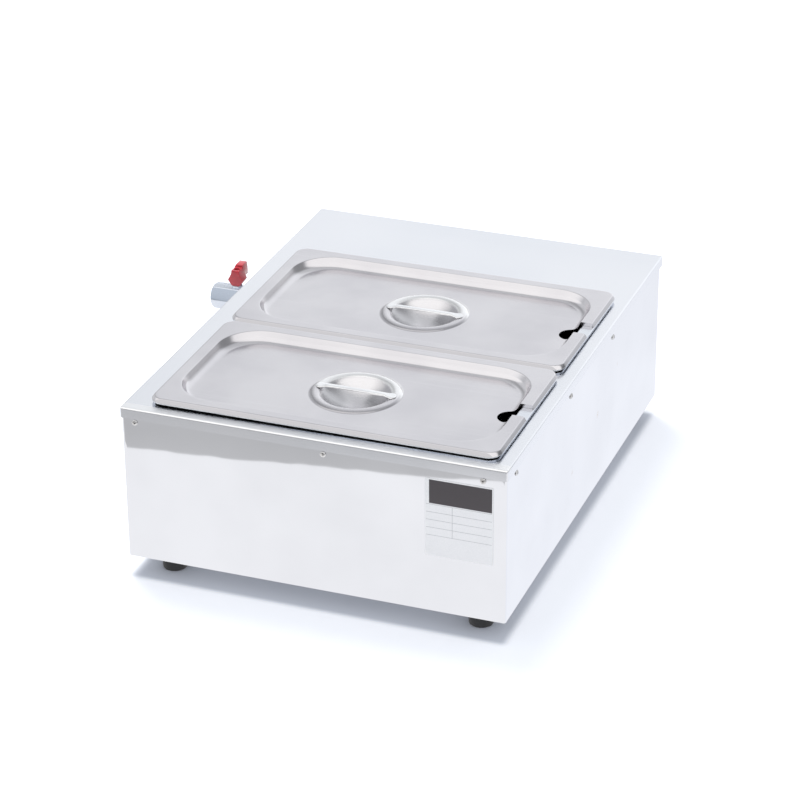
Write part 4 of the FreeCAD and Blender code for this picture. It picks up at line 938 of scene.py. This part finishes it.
coverPlaces = [(at(x, shell["near"], z), (0, -1, 0)) for x, z in screw["near"]]
coverPlaces += [(at(way * shell["half"], y, z), (way, 0, 0)) for way in (-1, 1) for y, z in screw["side"]]
underPlaces = [(at(x, y, shell["foot"]), (0, 0, -1)) for x, y in screw["under"]]
dialPlaces = [(at(x, 472, z), (0, 1, 0)) for x, z in screw["dial"]]
leverPlace = at(lever["axisX"], lever["axisY"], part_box("drain_handle_screw")[1].z * 1000 - screw["leverHeight"])
makeScrews("coverScrewHeads", coverPlaces, "cover_screws")
makeScrews("baseScrewHeads", underPlaces, "base_screws")
makeScrews("dialScrewHeads", dialPlaces, "thermostat_screws")
makeScrews("leverScrewHead", [(leverPlace, (0, 0, 1))], "drain_handle_screw", "drain_handle",
           screw["leverRadius"], screw["leverHeight"])
print("lever, plate and screws made")


# dial scale, pointer and rocker marks

dial = {"centreX": -60.0, "centreZ": 95.0, "face": 472.0, "ticks": 36, "sweep": 270.0, "inner": 22.6,
        "tickLength": 3.2, "tickWidth": 0.45, "numbers": ("0", "30", "40", "50", "60", "70", "80", "90"),
        "numberRadius": 28.8, "numberSize": 4.2, "knobTop": 489.6, "pointer": (5.0, 15.4), "pointerWidth": 1.3}
rocker = {"centreX": 78.0, "centreZ": 95.0, "markUp": 4.6, "barWidth": 0.8, "barHeight": 4.0,
          "ringRadius": 2.1, "ringWidth": 0.7, "proud": 0.1}


def tickTree():
    tree, given = newTree("dialTicks", {"Geometry": "Geometry", "Count": "Int", "Inner": "Float", "Length": "Float",
                                        "Width": "Float", "Sweep": "Float", "Material": "Material"})
    line = given["Count"].node("GeometryNodeMeshLine", None, {"Count": given["Count"]})
    index = line.node("GeometryNodeInputIndex")
    turn = index / (given["Count"] - 1) * given["Sweep"]
    # every fifth tick is longer and wider
    short = index.maths("MODULO", 5).maths("MINIMUM", 1)
    long = given["Length"] * (1 - short * 0.4)
    radius = given["Inner"] + long * 0.5
    spot = turn.vector(turn.maths("SINE") * radius * -1, 0.0, turn.maths("COSINE") * radius)
    points = line.node("GeometryNodeSetPosition", None, {"Geometry": line, "Position": spot})
    bar = line.node("GeometryNodeMeshCube", None, {"Size": (1, 1, 1)})
    size = long.vector(given["Width"] * (1.35 - short * 0.35), 0.00016, long)
    spin = turn.vector(0.0, turn * -1, 0.0)
    feeds = {"Points": points, "Instance": bar, "Rotation": spin, "Scale": size}
    ticks = points.node("GeometryNodeInstanceOnPoints", None, feeds)
    whole = ticks.node("GeometryNodeRealizeInstances", None, {"Geometry": ticks})
    feeds = {"Points": given["Geometry"], "Instance": whole}
    endTree(tree, whole.node("GeometryNodeInstanceOnPoints", None, feeds), given["Material"])
    return tree


def makeDial():
    values = {"Count": dial["ticks"], "Inner": dial["inner"] / 1000, "Length": dial["tickLength"] / 1000,
              "Width": dial["tickWidth"] / 1000, "Sweep": math.radians(dial["sweep"]),
              "Material": finishes["dial_ink"]}
    centre = at(dial["centreX"], dial["face"], dial["centreZ"])
    newPiece("dialTicks", runTree(tickTree(), [(centre, (0, 1, 0))], values), "dial_ink", "cabinet")
    shape = bmesh.new()
    facing = Matrix(((-1, 0, 0), (0, 0, 1), (0, 1, 0))).to_4x4()
    radius = dial["numberRadius"]
    for number, words in enumerate(dial["numbers"]):
        turn = math.radians(dial["sweep"] * number / (len(dial["numbers"]) - 1))
        curve = bpy.data.curves.new("number", "FONT")
        curve.body, curve.size, curve.extrude = words, dial["numberSize"] / 1000, 0.00005
        curve.align_x, curve.align_y = "CENTER", "CENTER"
        mesh = baked(placed("number", curve))
        x, z = dial["centreX"] - radius * math.sin(turn), dial["centreZ"] + radius * math.cos(turn)
        mesh.transform(Matrix.Translation(at(x, dial["face"] + 0.04, z)) @ facing)
        shape.from_mesh(mesh)
    newPiece("dialNumbers", shape, "dial_ink", "cabinet")


def capsule(width, low, high):
    # outline of an upright bar with round ends
    half = width / 2
    return arcPoints((0, high - half), half, 0, 180, 8) + arcPoints((0, low + half), half, 180, 360, 8)


def makePointer():
    outline = capsule(dial["pointerWidth"], *dial["pointer"])
    shape = bmesh.new()
    depths = (dial["knobTop"] - 0.05, dial["knobTop"] + 0.12)
    slab(shape, *([at(dial["centreX"] + p.x, y, dial["centreZ"] + p.y) for p in outline] for y in depths))
    newPiece("knobPointer", shape, "mark_paint", "thermostat_dial")


def makeRockerMarks():
    # marks lie on the rocker's own sloping faces
    solid = bmesh.new()
    solid.from_mesh(frame["nodes"]["power_switch_rocker"].data)
    surface = BVHTree.FromBMesh(solid)
    solid.free()

    def on(x, z, lift):
        start = at(rocker["centreX"] + x, 520, rocker["centreZ"] + z)
        return surface.ray_cast(start, Vector((0, -1, 0)))[0] + Vector((0, lift / 1000, 0))

    shape = bmesh.new()
    up, half, proud = rocker["markUp"], rocker["barHeight"] / 2, rocker["proud"]
    bar = capsule(rocker["barWidth"], up - half, up + half)
    slab(shape, *([on(p.x, p.y, lift) for p in bar] for lift in (-proud, proud)))
    outer, inner = rocker["ringRadius"], rocker["ringRadius"] - rocker["ringWidth"]
    turns = [math.radians(15 * step) for step in range(24)]
    rings = []
    for size, lift in ((outer, -proud), (outer, proud), (inner, proud), (inner, -proud)):
        rings.append([shape.verts.new(on(size * math.cos(t), size * math.sin(t) - up, lift)) for t in turns])
    skin(shape, rings + rings[:1])
    bmesh.ops.recalc_face_normals(shape, faces=shape.faces)
    newPiece("rockerMarks", shape, "mark_paint", "power_rocker")


makeDial()
makePointer()
makeRockerMarks()
print("dial and marks made")


# camera, light and floor

view = {"aim": (-0.71, 224.74, 101.17), "distance": 2.694, "azimuth": 20.55, "elevation": 26.554,
        "roll": -0.414, "lens": 129.75, "sensor": 36}


def makeCamera():
    azimuth, elevation, roll = [math.radians(view[name]) for name in ("azimuth", "elevation", "roll")]
    level = math.cos(elevation)
    back = Vector((math.sin(azimuth) * level, -math.cos(azimuth) * level, math.sin(elevation)))
    right = Vector((math.cos(azimuth), math.sin(azimuth), 0))
    up = back.cross(right)
    across = right * math.cos(roll) + up * math.sin(roll)
    over = up * math.cos(roll) - right * math.sin(roll)
    data = bpy.data.cameras.new("camera")
    data.lens, data.sensor_width = view["lens"], view["sensor"]
    camera = placed("camera", data)
    place = Matrix.Translation(at(*view["aim"]) + back * view["distance"])
    camera.matrix_world = place @ Matrix((across, over, back)).transposed().to_4x4()
    bpy.context.scene.camera = camera


studio = {"ambient": (0.80, 0.84, 0.90, 1), "keyPlace": (-560, 760, 2050), "keyAim": (0, 240, 80),
          "keySize": 1.0, "keyPower": 27.0, "brightest": 1.27, "cool": (0.955, 0.975, 1.0, 1),
          "warm": (1.0, 0.993, 0.98, 1)}
paper = {"size": 4.0, "tone": (0.90, 0.91, 0.945, 1), "under": (0.66, 0.68, 0.73, 1), "glow": 0.25,
         "mirror": (0.99, 0.99, 1.0, 1), "mirrorRight": (0.965, 0.985, 1.035, 1),
         "edgeLeft": (-290, -218), "edgeRight": (62, -271), "left": -178, "right": 178, "near": 0, "far": 471}
white, black = (1, 1, 1, 1), (0, 0, 0, 1)


def ray(start, kind):
    return start.node("ShaderNodeLightPath", out="Is " + kind + " Ray")


def makeWorld():
    # metal sees a softbox over the camera, a pale backdrop and a darker right side
    world = bpy.data.worlds.new("studio")
    bpy.context.scene.world = world
    world.use_nodes = True
    tree = world.node_tree
    start = Wire(tree.nodes["Background"].outputs[0])
    x, y, z = start.node("ShaderNodeTexCoord", out="Generated").split()
    softbox = y.rise(0.22, 0.0) * z.rise(0.20, 0.42)
    top = y.rise(0.60, 0.80)
    backdrop = y.rise(0.12, 0.28) * 0.36 + top * 0.26 + x.rise(-0.25, 0.10) * top * 0.12
    backdrop = backdrop * x.rise(0.70, 0.36) * (x.rise(-0.62, -0.34) * 0.7 + 0.3)
    leftWall = x.rise(-0.60, -0.78)
    horizon = z.rise(0.36, 0.20) * y.rise(0.80, 0.90)
    level = backdrop * 1.12 + softbox + leftWall * 0.35 + horizon * 0.3 + 0.34
    level = level.maths("MINIMUM", studio["brightest"])

    def light(colour, strength):
        return start.node("ShaderNodeBackground", None, {"Color": colour, "Strength": strength})

    mirror = light(softbox.blend(studio["cool"], studio["warm"]), level)
    feeds = {0: ray(start, "Glossy"), 1: light(studio["ambient"], 1.0), 2: mirror}
    first = start.node("ShaderNodeMixShader", None, feeds)
    seen = ray(start, "Camera").maths("MAXIMUM", ray(start, "Transmission"))
    last = start.node("ShaderNodeMixShader", None, {0: seen, 1: first, 2: light(white, 1.0)})
    tree.links.new(last.socket, tree.nodes["World Output"].inputs["Surface"])


def makeFloor():
    shape = bmesh.new()
    bmesh.ops.create_grid(shape, x_segments=8, y_segments=8, size=paper["size"])
    floor = placed("floor", meshFrom(shape))
    material = bpy.data.materials.new("paper_floor")
    material.use_nodes = True
    tree = material.node_tree
    tree.nodes.remove(tree.nodes["Principled BSDF"])
    start = Wire(tree.nodes.new("ShaderNodeTexCoord").outputs["Object"])
    x, y, z = start.drawing()
    # in metal the paper ends at a wavy line before the cabinet, and is a little bluer to its right
    first, second = paper["edgeLeft"], paper["edgeRight"]
    tilt = (second[1] - first[1]) / (second[0] - first[0])
    ahead = y - (x - first[0]) * tilt - first[1] + start.noise(9, 1) * 14 - 4
    front = ahead.rise(1, -3) * (ahead.rise(-4, -50) * 0.06 + 0.94)
    behind = (y + x * 0.35 + start.noise(5, 1) * 80).rise(627, 787)
    level = 1.03 - front * 0.46 - behind * 0.04
    side = x.rise(176, 192) * y.rise(-10, 10)
    cool = side.blend(paper["mirror"], paper["mirrorRight"])
    # painted shadow: the paper is painted darker under the cabinet
    under = x.rise(paper["left"] - 5, paper["left"] + 5) * x.rise(paper["right"] + 5, paper["right"] - 5)
    under = under * y.rise(paper["near"] - 5, paper["near"] + 5) * y.rise(paper["far"] + 5, paper["far"] - 5)
    feeds = {"Color": under.blend(white, black), "Strength": paper["glow"]}
    matt = start.node("ShaderNodeBsdfDiffuse", None, {"Color": under.blend(paper["tone"], paper["under"])})
    seen = start.node("ShaderNodeAddShader", None, {0: matt, 1: start.node("ShaderNodeEmission", None, feeds)})
    mirror = start.node("ShaderNodeEmission", None, {"Color": cool, "Strength": level})
    mixed = start.node("ShaderNodeMixShader", None, {0: ray(start, "Camera"), 1: matt, 2: seen})
    last = start.node("ShaderNodeMixShader", None, {0: ray(start, "Glossy"), 1: mixed, 2: mirror})
    tree.links.new(last.socket, tree.nodes["Material Output"].inputs["Surface"])
    floor.data.materials.append(material)


def makeKey():
    data = bpy.data.lights.new("softbox", "AREA")
    data.shape, data.size, data.energy = "DISK", studio["keySize"], studio["keyPower"]
    light = placed("softbox", data)
    light.location = at(*studio["keyPlace"])
    light.rotation_mode = "QUATERNION"
    light.rotation_quaternion = (at(*studio["keyAim"]) - light.location).to_track_quat("-Z", "Y")
    light.visible_glossy = False


makeCamera()
makeWorld()
makeFloor()
makeKey()
bpy.context.scene.view_settings.view_transform = "Standard"
print("studio made")
